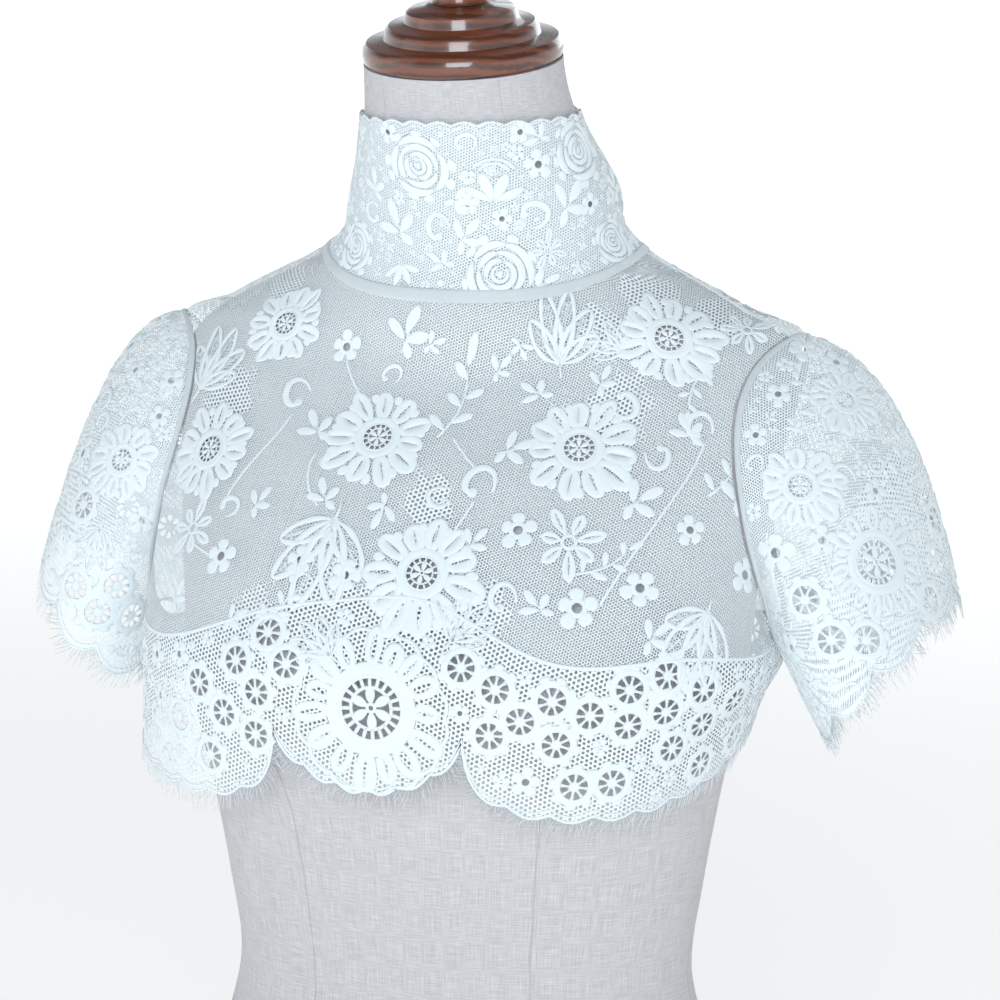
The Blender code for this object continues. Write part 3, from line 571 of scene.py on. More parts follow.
def wrap_point(direction, z):
    """Points of the bodice at directions in degrees and heights."""
    turn = np.radians(np.atleast_1d(np.asarray(direction, float)))
    z = np.broadcast_to(np.asarray(z, float), turn.shape)
    starts = np.stack((np.zeros_like(turn), np.full_like(turn, CHEST[1]), z), axis=1)
    rays = np.stack((np.sin(turn), -np.cos(turn), np.zeros_like(turn)), axis=1)
    return cast(starts, rays, cloth_distance)


def to_panel(points, facing):
    """Flat place of points on a panel that faces -Y (facing -1) or +Y (facing 1)."""
    rays = points - CHEST
    rays = rays / np.linalg.norm(rays, axis=1)[:, None]
    angle = np.arccos(np.clip(rays[:, 1] * facing, -1, 1))
    length = np.maximum(np.hypot(rays[:, 0], rays[:, 2]), 1e-9)
    return PANEL_SCALE * angle[:, None] * rays[:, (0, 2)] / length[:, None]


def bodice_point(facing):
    """A function from a panel's flat places to points on the cloth."""

    def place(flat):
        """Points under flat places of the panel."""
        angle = np.maximum(np.linalg.norm(flat, axis=1), 1e-9) / PANEL_SCALE
        share = np.sin(angle) / (angle * PANEL_SCALE)
        rays = np.stack((flat[:, 0] * share, facing * np.cos(angle), flat[:, 1] * share), axis=1)
        return cast(np.broadcast_to(CHEST, rays.shape), rays, cloth_distance)

    return place


def neck_seam(turn, down=0.0):
    """Points of the neck seam at turns in radians, 0 at the wearer's left and -pi/2 at the front."""
    front = np.sin(turn) < 0
    depth = np.where(front, SEAM_FRONT, SEAM_BACK)
    rise = np.where(front, SEAM_FRONT_DROP, SEAM_BACK_RISE)
    outward = np.stack((0.72 * np.cos(turn), 0.72 * np.sin(turn), np.full_like(turn, -0.69)), axis=1)
    x, y = SEAM_HALF * np.cos(turn), SEAM_CENTRE_Y + depth * np.sin(turn)
    seam = np.stack((x, y, SEAM_SIDE_Z + rise * np.sin(turn)), axis=1)
    return seam + outward * np.asarray(down).reshape(-1, 1)


def cloth_normals(points):
    """Unit normals of the cloth at points on it."""
    slope = [cloth_distance(points + axis) - cloth_distance(points - axis) for axis in np.eye(3) * 0.5]
    slope = np.stack(slope, axis=1)
    return slope / np.linalg.norm(slope, axis=1)[:, None]


def armhole(turn, side, grow=0.0):
    """Points of an armhole loop at turns in radians from its top, forward first.

    side is 1 at the wearer's left and -1 at the right.
    """
    y = ARMHOLE_CENTRE[0] - (ARMHOLE_HALF[0] + grow) * np.sin(turn)
    z = ARMHOLE_CENTRE[1] + (ARMHOLE_HALF[1] + grow) * np.cos(turn)
    return from_chest(np.stack((np.full_like(turn, side * ARMHOLE_X), y, z), axis=1))


def hem_height(direction):
    """Height of the hem at directions in degrees: deep scallops edged with small lobes."""
    z = np.full_like(direction, NOTCH_Z)
    for first, last, depth, lean, lobes in SCALLOPS:
        t = (direction - first) / (last - first)
        inside = (t >= 0) & (t <= 1)
        t = np.clip(t, 0, 1)
        deep = depth * np.sin(math.pi * t**lean) ** 0.55
        small = LOBE_DEPTH * np.abs(np.sin(lobes * math.pi * t))
        z = np.where(inside, NOTCH_Z - deep - small, z)
    return z


def hem_points(start, end):
    """The hem between two directions, in degrees."""
    count = int(abs(end - start) * math.radians(1) * HEM_RADIUS / HEM_SPACING)
    direction = np.linspace(start, end, count)
    return wrap_point(direction, hem_height(direction))


def line_points(start, end, count):
    """Points on a straight line, both ends included."""
    share = np.linspace(0, 1, count)[:, None]
    return np.asarray(start) * (1 - share) + np.asarray(end) * share


def edge_room(turn):
    """Room left round an armhole for the sleeve's band, more at the underarm."""
    return EDGE_ROOM_TOP + (EDGE_ROOM_LOW - EDGE_ROOM_TOP) * (1 - np.cos(turn)) / 2


def shoulder_turn(side, facing):
    """Turn round the neck at which a panel's shoulder seam starts."""
    return 0.001 * facing if side == 1 else math.pi - 0.001 * facing


def side_turn(facing):
    """Direction in degrees of a side seam's lower end, a little apart on the front and back."""
    return SIDE_SEAM_DEGREES + facing * math.degrees((SEAM_GAP / 2 + 0.1) / 160.0)


def side_run(side, facing):
    """One side of a bodice panel from neck to hem: shoulder, armhole and side seam, as flat places."""
    shift = np.array((0.0, facing * (SEAM_GAP / 2 + 0.1), 0.0))
    tip_z = ARMHOLE_CENTRE[1] + ARMHOLE_HALF[1] + EDGE_ROOM_TOP
    pit_z = ARMHOLE_CENTRE[1] - ARMHOLE_HALF[1] - EDGE_ROOM_LOW
    neck_end = neck_seam(np.array([shoulder_turn(side, facing)]), BAND_WIDTH / 2 + SEAM_GAP)[0]
    tip = np.array((side * ARMHOLE_X, SHOULDER_TIP_Y, tip_z))
    armpit = np.array((side * ARMHOLE_X, SIDE_SEAM_Y, pit_z))
    turn = np.linspace(0, -facing * math.pi, 70)[1:-1]
    loop = armhole(turn, side, edge_room(turn))
    low_turn = side * side_turn(facing)
    hem_end = wrap_point(low_turn, hem_height(np.array([low_turn])))[0]
    shoulder = line_points(neck_end, tip, SHOULDER_POINTS) + shift
    runs = (shoulder, loop, line_points(armpit + shift, hem_end, SIDE_POINTS))
    return np.concatenate([to_panel(run, facing) for run in runs])


def panel_outline(facing, sides):
    """A bodice panel's flat outline. sides holds 1 for the wearer's left, -1 for the right, or both."""
    neck_down = BAND_WIDTH / 2 - 0.6
    if len(sides) == 2:
        hem = to_panel(hem_points(side_turn(facing), -side_turn(facing))[1:-1], facing)
        turns = np.linspace(shoulder_turn(-1, facing), shoulder_turn(1, facing) + 2 * math.pi, 90)
        neck = to_panel(neck_seam(turns, neck_down)[1:-1], facing)
        return np.concatenate((side_run(1, facing), hem, side_run(-1, facing)[::-1], neck))
    side = sides[0]
    hem = to_panel(hem_points(side * side_turn(facing), side * 180.0)[1:-1], facing)
    turns = np.linspace(math.pi / 2, shoulder_turn(side, facing), 46)[1:-1]
    neck = to_panel(neck_seam(turns, neck_down), facing)
    middle_top = neck_seam(np.array([math.pi / 2]), neck_down)[0]
    middle_low = wrap_point(180.0, hem_height(np.array([180.0])))[0]
    centre = to_panel(line_points(middle_low, middle_top, 60), facing)
    centre[:, 0] = side * OPENING_GAP / 2
    return np.concatenate((side_run(side, facing), hem, centre, neck))


def inside_polygon(points, polygon):
    """Whether each flat point lies inside a polygon."""
    x, y = points[:, 0][:, None], points[:, 1][:, None]
    x0, y0 = polygon[:, 0][None], polygon[:, 1][None]
    x1, y1 = np.roll(polygon[:, 0], -1)[None], np.roll(polygon[:, 1], -1)[None]
    crosses = (y0 > y) != (y1 > y)
    span = np.where(y1 == y0, 1e-12, y1 - y0)
    return (np.count_nonzero(crosses & (x < x0 + (y - y0) * (x1 - x0) / span), axis=1) % 2) == 1


def inner_grid(outline, holes, spacing):
    """Evenly staggered flat places inside an outline, clear of its edge and its holes."""
    low, high = outline.min(axis=0), outline.max(axis=0)
    rows = []
    for k, v in enumerate(np.arange(low[1], high[1], spacing * 0.87)):
        u = np.arange(low[0] + (k % 2) * spacing / 2, high[0], spacing)
        rows.append(np.stack((u, np.full_like(u, v)), axis=1))
    grid = np.concatenate(rows)
    grid = grid[inside_polygon(grid, outline)]
    ring_points = np.concatenate([outline] + holes)
    tree = KDTree(len(ring_points))
    for i, point in enumerate(ring_points):
        tree.insert((point[0], point[1], 0.0), i)
    tree.balance()
    clear = [tree.find((x, y, 0.0))[2] > 0.5 * spacing for x, y in grid]
    return grid[np.array(clear)]


def triangulate(outline, holes, spacing):
    """Flat places and triangles that fill an outline and leave its holes open."""
    rings = [outline] + holes
    places = np.concatenate(rings + [inner_grid(outline, holes, spacing)])
    edges = []
    first = 0
    for ring in rings:
        count = len(ring)
        edges += [(first + i, first + (i + 1) % count) for i in range(count)]
        first += count
    flat, _, faces, _, _, _ = delaunay_2d_cdt([tuple(p) for p in places], edges, [], 0, 1e-5)
    flat = np.array([tuple(p) for p in flat])
    faces = np.array(faces)
    middles = flat[faces].mean(axis=1)
    keep = inside_polygon(middles, outline)
    for hole in holes:
        keep &= ~inside_polygon(middles, hole)
    return flat, faces[keep]


def sleeve_point(side):
    """A function from a sleeve's flat places, round and along, to points on its cloth."""

    def place(flat):
        """Points on a curve from the armhole to the cuff."""
        turn = flat[:, 0] / SLEEVE_DOMAIN[0]
        share = (flat[:, 1] / SLEEVE_DOMAIN[1])[:, None]
        turns, index = np.unique(turn, return_inverse=True)
        start = armhole(turns, side)[index]
        cuff = np.cos(turn)[:, None] * CUFF_TOP + np.sin(turn)[:, None] * CUFF_FRONT
        cuff[:, 0] *= side
        cuff += CUFF_CENTRES[side]
        crown = (((1 + np.cos(turn)) / 2) ** 2)[:, None] * CROWN_BULGE
        crown[:, 0] *= side
        crown[:, 1] -= SIDE_BULGE * np.sin(turn)
        middle = (start + cuff) / 2 + crown
        return (1 - share) ** 2 * start + 2 * share * (1 - share) * middle + share**2 * cuff

    return place


def sleeve_length(turn, side):
    """Length of the sleeve along each of its lines."""
    place = sleeve_point(side)
    shares = np.linspace(0, SLEEVE_DOMAIN[1], 9)
    rows = [place(np.stack((turn * SLEEVE_DOMAIN[0], np.full_like(turn, s)), axis=1)) for s in shares]
    return sum(np.linalg.norm(b - a, axis=1) for a, b in zip(rows, rows[1:]))


def sleeve_edge(turn, side, distance):
    """Flat places a given distance from the armhole, along the sleeve's lines."""
    share = SLEEVE_DOMAIN[1] * distance / sleeve_length(turn, side)
    return np.stack((turn * SLEEVE_DOMAIN[0], share), axis=1)


def cuff_edge(turn, side, inset=0.0):
    """Flat places of the scalloped cuff, or of a line that runs inside it."""
    length = sleeve_length(turn, side)
    notch = CUFF_DEPTH * (1 - np.abs(np.sin(CUFF_SCALLOPS * turn / 2)) ** 0.7) + inset
    return np.stack((turn * SLEEVE_DOMAIN[0], SLEEVE_DOMAIN[1] * (1 - notch / length)), axis=1)


def back_turns(count):
    """Turns round the neck from one side of the back opening to the other."""
    gap = OPENING_GAP / 2 / (SEAM_CENTRE_Y + SEAM_BACK)
    return np.linspace(-1.5 * math.pi + gap, 0.5 * math.pi - gap, count)


def collar_point(flat):
    """Points of the collar at flat places: round the neck, and up from the seam."""
    turn = flat[:, 0] / COLLAR_RADIUS
    z = flat[:, 1]
    starts = np.stack((np.zeros_like(z), read(NECK["centre"], z), z), axis=1)
    rays = np.stack((np.cos(turn), np.sin(turn), np.zeros_like(z)), axis=1)
    return cast(starts, rays, collar_distance, 140.0)


def collar_seam(turn):
    """Flat places of the collar's lower edge, under the neck binding."""
    seam = from_chest(neck_seam(turn, -BAND_WIDTH / 2 + 0.6))
    centre = read(NECK["centre"], seam[:, 2])
    around = np.unwrap(np.arctan2(seam[:, 1] - centre, seam[:, 0]))
    around += 2 * math.pi * np.round((turn[0] - around[0]) / (2 * math.pi))
    around[0], around[-1] = turn[0], turn[-1]
    return np.stack((around * COLLAR_RADIUS, seam[:, 2]), axis=1)


def collar_top(turn):
    """Height of the collar's finely scalloped top edge."""
    back = (1 + np.sin(turn)) / 2
    scallop = COLLAR_SCALLOP_DEPTH * np.abs(np.sin(COLLAR_SCALLOPS * turn / 2))
    return COLLAR_TOP_FRONT + (COLLAR_TOP_BACK - COLLAR_TOP_FRONT) * back + scallop


def border_top(direction):
    """Height of the border's upper line, which rises round the large hem flower."""
    away = (direction - BORDER_MIDDLE) / BORDER_SPREAD
    return BORDER_TOP + BORDER_RISE * np.exp(-(away**2)) + 3.0 * np.sin(np.radians(direction) * 9)


# The photograph's camera


def camera_axes():
    """Right, up and back of the camera, and its place in millimetres."""
    turn, rise = math.radians(VIEW_TURN), math.radians(VIEW_RISE)
    back = np.array((math.sin(turn) * math.cos(rise), -math.cos(turn) * math.cos(rise), math.sin(rise)))
    right = np.array((math.cos(turn), math.sin(turn), 0.0))
    up = np.cross(back, right)
    target = np.array((0.0, 0.0, AIM_BASE)) + right * AIM_RIGHT / PIXELS_PER_MM + up * AIM_UP / PIXELS_PER_MM
    return right, up, back, target + back * VIEW_DISTANCE


def to_photo(points):
    """Pixels of points, across and down from the photograph's corner."""
    right, up, back, eye = camera_axes()
    rays = points - eye
    depth = -(rays @ back) / VIEW_DISTANCE
    across = PHOTO_SIZE / 2 + rays @ right * PIXELS_PER_MM / depth
    down = PHOTO_SIZE / 2 - rays @ up * PIXELS_PER_MM / depth
    return np.stack((across, down), axis=-1)


class Cloth:
    """A cloth's surface, kept as a fine grid of points over its flat places."""

    def __init__(self, place, low, high, outward):
        """Casts the grid between two flat corners. outward is 1 or -1, to turn its normals out."""
        self.low = np.array(low, float)
        self.outward = outward
        columns = np.arange(low[0], high[0] + GRID_STEP, GRID_STEP)
        rows = np.arange(low[1], high[1] + GRID_STEP, GRID_STEP)
        self.flat = np.stack(np.meshgrid(columns, rows), axis=2)
        self.points = place(self.flat.reshape(-1, 2)).reshape(self.flat.shape[:2] + (3,))
        self.normals = self.grid_normals()
        self.measure = self.grid_measure()

    def grid_normals(self):
        """Unit normals over the grid, turned outward."""
        across = np.gradient(self.points, axis=1)
        along = np.gradient(self.points, axis=0)
        normals = np.cross(across, along) * self.outward
        return normals / np.maximum(np.linalg.norm(normals, axis=2), 1e-9)[:, :, None]

    def grid_measure(self):
        """True distances across and along the cloth from the grid's middle, for its weave."""
        across = np.linalg.norm(np.diff(self.points, axis=1), axis=2)
        along = np.linalg.norm(np.diff(self.points, axis=0), axis=2)
        across = np.cumsum(np.pad(across, ((0, 0), (1, 0))), axis=1)
        along = np.cumsum(np.pad(along, ((1, 0), (0, 0))), axis=0)
        middle_row, middle_column = (n // 2 for n in across.shape)
        across -= across[:, middle_column : middle_column + 1]
        along -= along[middle_row : middle_row + 1]
        return np.stack((across, along), axis=2)

    def read(self, values, flat):
        """Grid values at flat places, blended between the grid's points."""
        place = (flat - self.low) / GRID_STEP
        last = np.array(values.shape[1::-1]) - 2
        cell = np.clip(np.floor(place).astype(int), 0, last)
        share = np.clip(place - cell, 0, 1)
        s, t = share[:, :1], share[:, 1:]
        i, j = cell[:, 1], cell[:, 0]
        low = values[i, j] * (1 - s) + values[i, j + 1] * s
        high = values[i + 1, j] * (1 - s) + values[i + 1, j + 1] * s
        return low * (1 - t) + high * t

    def point(self, flat, lift=0.0):
        """Points at flat places, lifted off the cloth."""
        normals = self.read(self.normals, flat)
        normals = normals / np.linalg.norm(normals, axis=1)[:, None]
        return self.read(self.points, flat) + normals * np.reshape(lift, (-1, 1))

    def under(self, pixel):
        """The flat place that shows at a pixel of the photograph."""
        back_rays = camera_axes()[3] - self.points
        facing = (back_rays * self.normals).sum(axis=2) > 0
        away = np.linalg.norm(to_photo(self.points) - pixel, axis=2) + np.where(facing, 0.0, 1e6)
        spot = self.flat[np.unravel_index(np.argmin(away), away.shape)].copy()
        for _ in range(5):
            seen = to_photo(self.point(spot + np.array(((0, 0), (1, 0), (0, 1)), float)))
            slope = np.stack((seen[1] - seen[0], seen[2] - seen[0]), axis=1)
            spot = spot + np.clip(np.linalg.solve(slope, np.asarray(pixel) - seen[0]), -6, 6)
        return spot

    def slope(self, spot, up, turn):
        """How a motif's own millimetres lie on the flat places round a spot, its top turned from up."""
        around = spot + np.array(((1, 0), (-1, 0), (0, 1), (0, -1)), float)
        points = self.point(around)
        slope = np.stack((points[0] - points[1], points[2] - points[3]), axis=1) / 2
        normal = np.cross(slope[:, 0], slope[:, 1]) * self.outward
        normal /= np.linalg.norm(normal)
        up = up - normal * (up @ normal)
        up = up / np.linalg.norm(up)
        right = np.cross(up, normal)
        angle = math.radians(turn)
        upward = up * math.cos(angle) + right * math.sin(angle)
        sideways = right * math.cos(angle) - up * math.sin(angle)
        return np.linalg.pinv(slope) @ np.stack((sideways, upward), axis=1)


# Flat shapes of woven lace, in their own millimetres: across, up, and height over the net


def clear_selection():
    """Leaves object mode with nothing selected."""
    if bpy.context.object and bpy.context.object.mode != "OBJECT":
        bpy.ops.object.mode_set(mode="OBJECT")
    bpy.ops.object.select_all(action="DESELECT")


def begin_circle(name, sides, radius):
    """A filled circle on the floor, in edit mode and selected all over."""
    clear_selection()
    bpy.ops.mesh.primitive_circle_add(vertices=sides, radius=radius, fill_type="NGON")
    thing = bpy.context.object
    thing.name = thing.data.name = name
    bpy.ops.object.mode_set(mode="EDIT")
    bpy.ops.mesh.select_all(action="SELECT")
    return thing


def draw_up(rise):
    """Extrudes what is selected upward, in the mesh's own length."""
    bpy.ops.mesh.extrude_region_move(TRANSFORM_OT_translate={"value": (0, 0, rise)})


def turn_outward():
    """Points every face of the mesh in edit mode outward, and leaves edit mode."""
    bpy.ops.mesh.select_all(action="SELECT")
    bpy.ops.mesh.normals_make_consistent(inside=False)
    bpy.ops.object.mode_set(mode="OBJECT")


def edit(thing):
    """Opens a piece in edit mode with all of it selected."""
    clear_selection()
    thing.select_set(True)
    bpy.context.view_layer.objects.active = thing
    bpy.ops.object.mode_set(mode="EDIT")
    bpy.ops.mesh.select_all(action="SELECT")


def taken_mesh():
    """The vertices and faces of the object just modelled, which is then removed."""
    bpy.ops.object.mode_set(mode="OBJECT")
    thing = bpy.context.object
    vertices = np.array([v.co[:] for v in thing.data.vertices])
    faces = [tuple(p.vertices) for p in thing.data.polygons]
    mesh = thing.data
    bpy.data.objects.remove(thing)
    bpy.data.meshes.remove(mesh)
    return vertices, faces


@lru_cache(maxsize=None)
def unit_pad(sides=12):
    """A round pad of woven lace with a soft crown, 1 in radius and 1 high."""
    begin_circle("pad", sides, 1.0)
    draw_up(RIM_RISE)
    bpy.ops.mesh.inset(thickness=RIM_SHARE, depth=1.0 - RIM_RISE)
    bpy.ops.mesh.poke()
    return taken_mesh()


@lru_cache(maxsize=None)
def unit_loop(sides=14):
    """A round pad with a hole through its middle, 1 in radius and 1 high."""
    begin_circle("loop", sides, 1.0)
    bpy.ops.mesh.inset(thickness=0.55)
    bpy.ops.mesh.delete(type="FACE")
    bpy.ops.mesh.select_all(action="SELECT")
    draw_up(RIM_RISE)
    bpy.ops.mesh.inset(thickness=0.16, depth=1.0 - RIM_RISE)
    return taken_mesh()


def turned(patch, turn=0.0, at=(0.0, 0.0)):
    """A flat shape turned clockwise, in radians, and moved."""
    vertices, faces = patch
    c, s = math.cos(turn), math.sin(turn)
    x = vertices[:, 0] * c + vertices[:, 1] * s + at[0]
    y = vertices[:, 1] * c - vertices[:, 0] * s + at[1]
    return np.stack((x, y, vertices[:, 2]), axis=1), faces


def set_round(patch, turn, start):
    """A flat shape set at a distance from the middle and turned to point away from it."""
    return turned(patch, turn, (start * math.sin(turn), start * math.cos(turn)))


def petal(length, width, base=0.35, point=0.0, slit=0.0, sides=12, full=1.0):
    """A petal or leaf that grows up from the origin.

    point narrows its ends, slit opens its middle, and full below 1 squares its lower half.
    """
    vertices, faces = unit_loop(sides + 2) if slit else unit_pad(sides)
    x, y, h = vertices.T
    middle = np.hypot(x, y) < 0.62
    x = np.where(y < 0, np.sign(x) * np.abs(x) ** full, x)
    x = np.where(middle & (slit > 0), x * slit, x)
    y = np.where(middle & (slit > 0), y * 1.25, y)
    along = (y + 1) / 2
    spread = (base + (1 - base) * along**0.8) * (1 - point * np.abs(y) ** 3)
    return np.stack((x * spread * width / 2, along * length, h * PAD_HEIGHT), axis=1), faces


def ribbon(points, width, height=CORD_HEIGHT, closed=False):
    """A low cord of thread along flat points."""
    points = np.asarray(points, float)
    width = np.broadcast_to(width, (len(points),))
    if closed:
        ahead = np.roll(points, -1, axis=0) - np.roll(points, 1, axis=0)
    else:
        ahead = np.gradient(points, axis=0)
    ahead = ahead / np.maximum(np.linalg.norm(ahead, axis=1), 1e-9)[:, None]
    side = np.stack((-ahead[:, 1], ahead[:, 0]), axis=1)
    profile = ((0.5, 0.0), (0.36, height), (-0.36, height), (-0.5, 0.0))
    rows = []
    for share, level in profile:
        edge = points + side * (share * width)[:, None]
        rows.append(np.column_stack((edge, np.full(len(points), level))))
    vertices = np.stack(rows, axis=1).reshape(-1, 3)
    faces = []
    count = len(points)
    for i in range(count if closed else count - 1):
        j = (i + 1) % count
        for k in range(4):
            m = (k + 1) % 4
            faces.append((4 * i + k, 4 * i + m, 4 * j + m, 4 * j + k))
    if not closed:
        faces.append((3, 2, 1, 0))
        faces.append(tuple(4 * (count - 1) + k for k in range(4)))
    return vertices, faces


def ring(radius, width, lobes=0, depth=0.0, height=CORD_HEIGHT, steps=28):
    """A closed round cord whose outline may be lobed."""
    angle = np.linspace(0, 2 * math.pi, steps, endpoint=False)
    reach = radius + depth * np.abs(np.sin(angle * lobes / 2)) if lobes else np.full(steps, radius)
    return ribbon(np.stack((np.sin(angle), np.cos(angle)), axis=1) * reach[:, None], width, height, True)


def wheel(radius):
    """An eyelet wheel: a broad hub and spokes inside a rim of lobes. Between its spokes it is open."""
    inner = radius * 0.67
    patches = [turned(petal(radius * 0.56, radius * 0.56, base=1.0), 0.0, (0.0, -radius * 0.28))]
    patches.append(ring(radius * 0.86, radius * 0.40, height=PAD_HEIGHT, steps=24))
    for k in range(8):
        turn = (k + 0.5) * math.pi / 4
        line = ((0, radius * 0.2), (0, radius * 0.44), (0, inner * 1.02))
        patches.append(turned(ribbon(line, radius * np.array((0.18, 0.12, 0.24))), turn))
        lobe = petal(radius * 0.34, radius * 0.60, base=0.9, sides=8)
        patches.append(set_round(lobe, turn, radius * 0.90))
    return patches, inner


def flower_core(core, spokes, hub_petals):
    """The open middle of a flower: a ring of small cells round a star."""
    patches = [ring(core * 1.02, core * 0.14, height=PAD_HEIGHT), ring(core * 0.66, core * 0.12)]
    for k in range(spokes):
        spoke = ribbon(((0, core * 0.64), (0, core)), core * 0.13)
        patches.append(turned(spoke, 2 * math.pi * k / spokes))
    for k in range(hub_petals):
        turn = 2 * math.pi * k / hub_petals
        point = petal(core * 0.54, core * 0.40, base=0.5)
        patches.append(set_round(point, turn, core * 0.13))
    patches.append(ring(core * 0.13, core * 0.12, steps=10))
    return patches


def corolla(radius, start, petals, fullness, slit, seed):
    """A ring of full, slit petals of uneven length, some of them pointed."""
    patches = []
    pace = 2 * math.pi / petals
    for k in range(petals):
        turn = pace * (k + 0.14 * math.sin(5.1 * k + seed))
        reach = radius * (1 + 0.08 * math.sin(2.3 * k + seed))
        width = pace * radius * fullness * (1 + 0.10 * math.cos(3.7 * k + seed))
        point = 0.30 if math.sin(1.7 * k + seed) > 0.2 else 0.0
        opening = slit * (1.0 + 0.6 * math.sin(4.1 * k + seed))
        leaf = petal(reach - start, width, base=0.62, point=point, slit=opening, full=0.5)
        patches.append(set_round(leaf, turn, start))
    return patches


def flower(radius):
    """A daisy: an open middle, a solid round and a corolla whose petals almost touch."""
    petals = 11
    core = radius * 0.27
    patches = flower_core(core, 14, 6)
    patches.append(ring(core * 1.34, core * 0.60, height=PAD_HEIGHT * 0.9))
    patches += corolla(radius, core * 1.4, petals, 0.80, 0.16, radius)
    for k in range(petals):
        turn = 2 * math.pi * (k + 0.5) / petals
        lobe = petal(radius * 0.22, radius * 0.20, base=0.7, sides=8)
        patches.append(set_round(lobe, turn, radius * 0.70))
    return patches, core * 0.98


def hem_flower(radius):
    """A large flower with a wide open middle, long slit petals and a lobed rim."""
    core = radius * 0.40
    patches = flower_core(core, 20, 6)
    patches.append(ring(core * 1.26, core * 0.46, height=PAD_HEIGHT * 0.9))
    patches += corolla(radius * 0.96, core * 1.3, 15, 0.80, 0.36, 2.0)
    patches.append(ring(radius * 0.94, radius * 0.05, 15, radius * 0.05, steps=90))
    return patches, core


def blossom(size):
    """An open blossom of uneven pointed petals."""
    patches = [ring(size * 0.16, size * 0.10, steps=12)]
    shares = (1.0, 0.78, 0.9, 0.72, 0.95, 0.8, 0.7)
    for k, share in enumerate(shares):
        turn = 2 * math.pi * k / len(shares)
        start = size * 0.15
        leaf = petal(size * share - start, size * 0.42, base=0.4, point=0.55, slit=0.3)
        patches.append(set_round(leaf, turn, start))
    return patches, 0.0


def bud(size):
    """A small round blossom with a bare middle."""
    patches = [ring(size * 0.34, size * 0.26, steps=14)]
    for k in range(5):
        turn = 2 * math.pi * k / 5
        start = size * 0.30
        leaf = petal(size * (0.92 + 0.12 * math.sin(2.9 * k)) - start, size * 0.78, base=0.7, full=0.6)
        patches.append(set_round(leaf, turn, start))
    return patches, size * 0.2


def sprig(size):
    """Four solid leaves that cross on a short stem."""
    patches = [ribbon(((0, -size * 0.30), (size * 0.05, 0), (0, size * 0.3)), (0.9, 1.4, 1.6))]
    leaves = (
        (0.05, 0.72, 0.12, 0.34),
        (-0.95, 0.66, 0.0, 0.32),
        (1.05, 0.60, -0.02, 0.34),
        (2.6, 0.46, 0.0, 0.28),
    )
    for turn, share, height, width in leaves:
        leaf = petal(size * share, size * width, base=0.55, point=0.55)
        patches.append(turned(leaf, turn, (0.0, size * height)))
    return patches, 0.0


def branch(size):
    """A bent stem with leaves on both sides and one at its tip."""
    steps = np.linspace(0, 1, 9)
    stem = np.stack((size * 0.16 * np.sin(2.6 * steps), size * (steps - 0.5)), axis=1)
    patches = [ribbon(stem, np.linspace(1.6, 1.0, 9))]
    for k, step in enumerate((1, 2, 4, 5, 7)):
        side = 1 if k % 2 else -1
        leaf = petal(size * (0.34 - 0.02 * k), size * 0.15, base=0.5, point=0.5)
        patches.append(turned(leaf, side * 0.95, tuple(stem[step])))
    patches.append(turned(petal(size * 0.30, size * 0.15, base=0.5, point=0.5), 0.1, tuple(stem[-1])))
    return patches, 0.0


def scroll(size):
    """A curled tendril that ends in a small round."""
    angle = np.linspace(0, 1.6 * math.pi, 18)
    reach = size * (1 - 0.62 * angle / angle[-1])
    points = np.stack((reach * np.cos(angle) * 0.75, reach * np.sin(angle)), axis=1)
    widths = size * 0.36 * np.sin(np.linspace(0.3, 2.6, 18))
    patches = [ribbon(points, widths, PAD_HEIGHT)]
    end = points[-1]
    knob = petal(size * 0.42, size * 0.42, base=1.0)
    patches.append(turned(knob, 0.0, (end[0], end[1] - size * 0.21)))
    return patches, 0.0


def net_leaf(length, width):
    """A leaf drawn in broad cord over the open net, with a midrib and fine side ribs."""
    angle = np.linspace(0, 2 * math.pi, 32, endpoint=False)
    half = np.sin(angle) * width / 2 * (1 - 0.25 * np.abs(np.cos(angle)) ** 3)
    outline = np.stack((half, length * (1 - np.cos(angle)) / 2), axis=1)
    cord = width * (0.20 + 0.10 * np.sin(angle) ** 2 + 0.06 * np.cos(5 * angle))
    patches = [ribbon(outline, cord, PAD_HEIGHT, True), ribbon(((0, 0), (0, length * 0.9)), 0.9)]
    for share in (0.2, 0.36, 0.52, 0.68, 0.82):
        reach = width * 0.40 * math.sin(math.pi * share)
        for side in (-1, 1):
            rib = ((0, length * share - reach * 0.5), (side * reach, length * share + reach * 0.2))
            patches.append(ribbon(rib, 0.5))
    return patches


def fan(size):
    """A fan of net-filled leaves on one stalk."""
    patches = [ribbon(((0, -size * 0.3), (0, 0)), (1.0, 1.8))]
    leaves = (
        (-0.85, 0.72, 0.27),
        (-0.38, 0.95, 0.28),
        (0.06, 1.0, 0.28),
        (0.5, 0.88, 0.28),
        (0.98, 0.66, 0.26),
    )
    for turn, share, width in leaves:
        patches += [turned(part, turn) for part in net_leaf(size * share, size * width)]
    knob = petal(size * 0.16, size * 0.14, base=1.0)
    patches.append(turned(knob, 0.0, (0.0, -size * 0.08)))
    return patches, 0.0


def crescent(radius, start, span, width):
    """A curved petal seen from its edge, widest in its middle."""
    steps = np.linspace(0, 1, max(7, int(span * 5)))
    angle = start + span * steps
    points = np.stack((np.sin(angle), np.cos(angle)), axis=1) * radius
    return ribbon(points, width * (0.22 + 0.78 * np.sin(math.pi * steps) ** 0.6), PAD_HEIGHT)


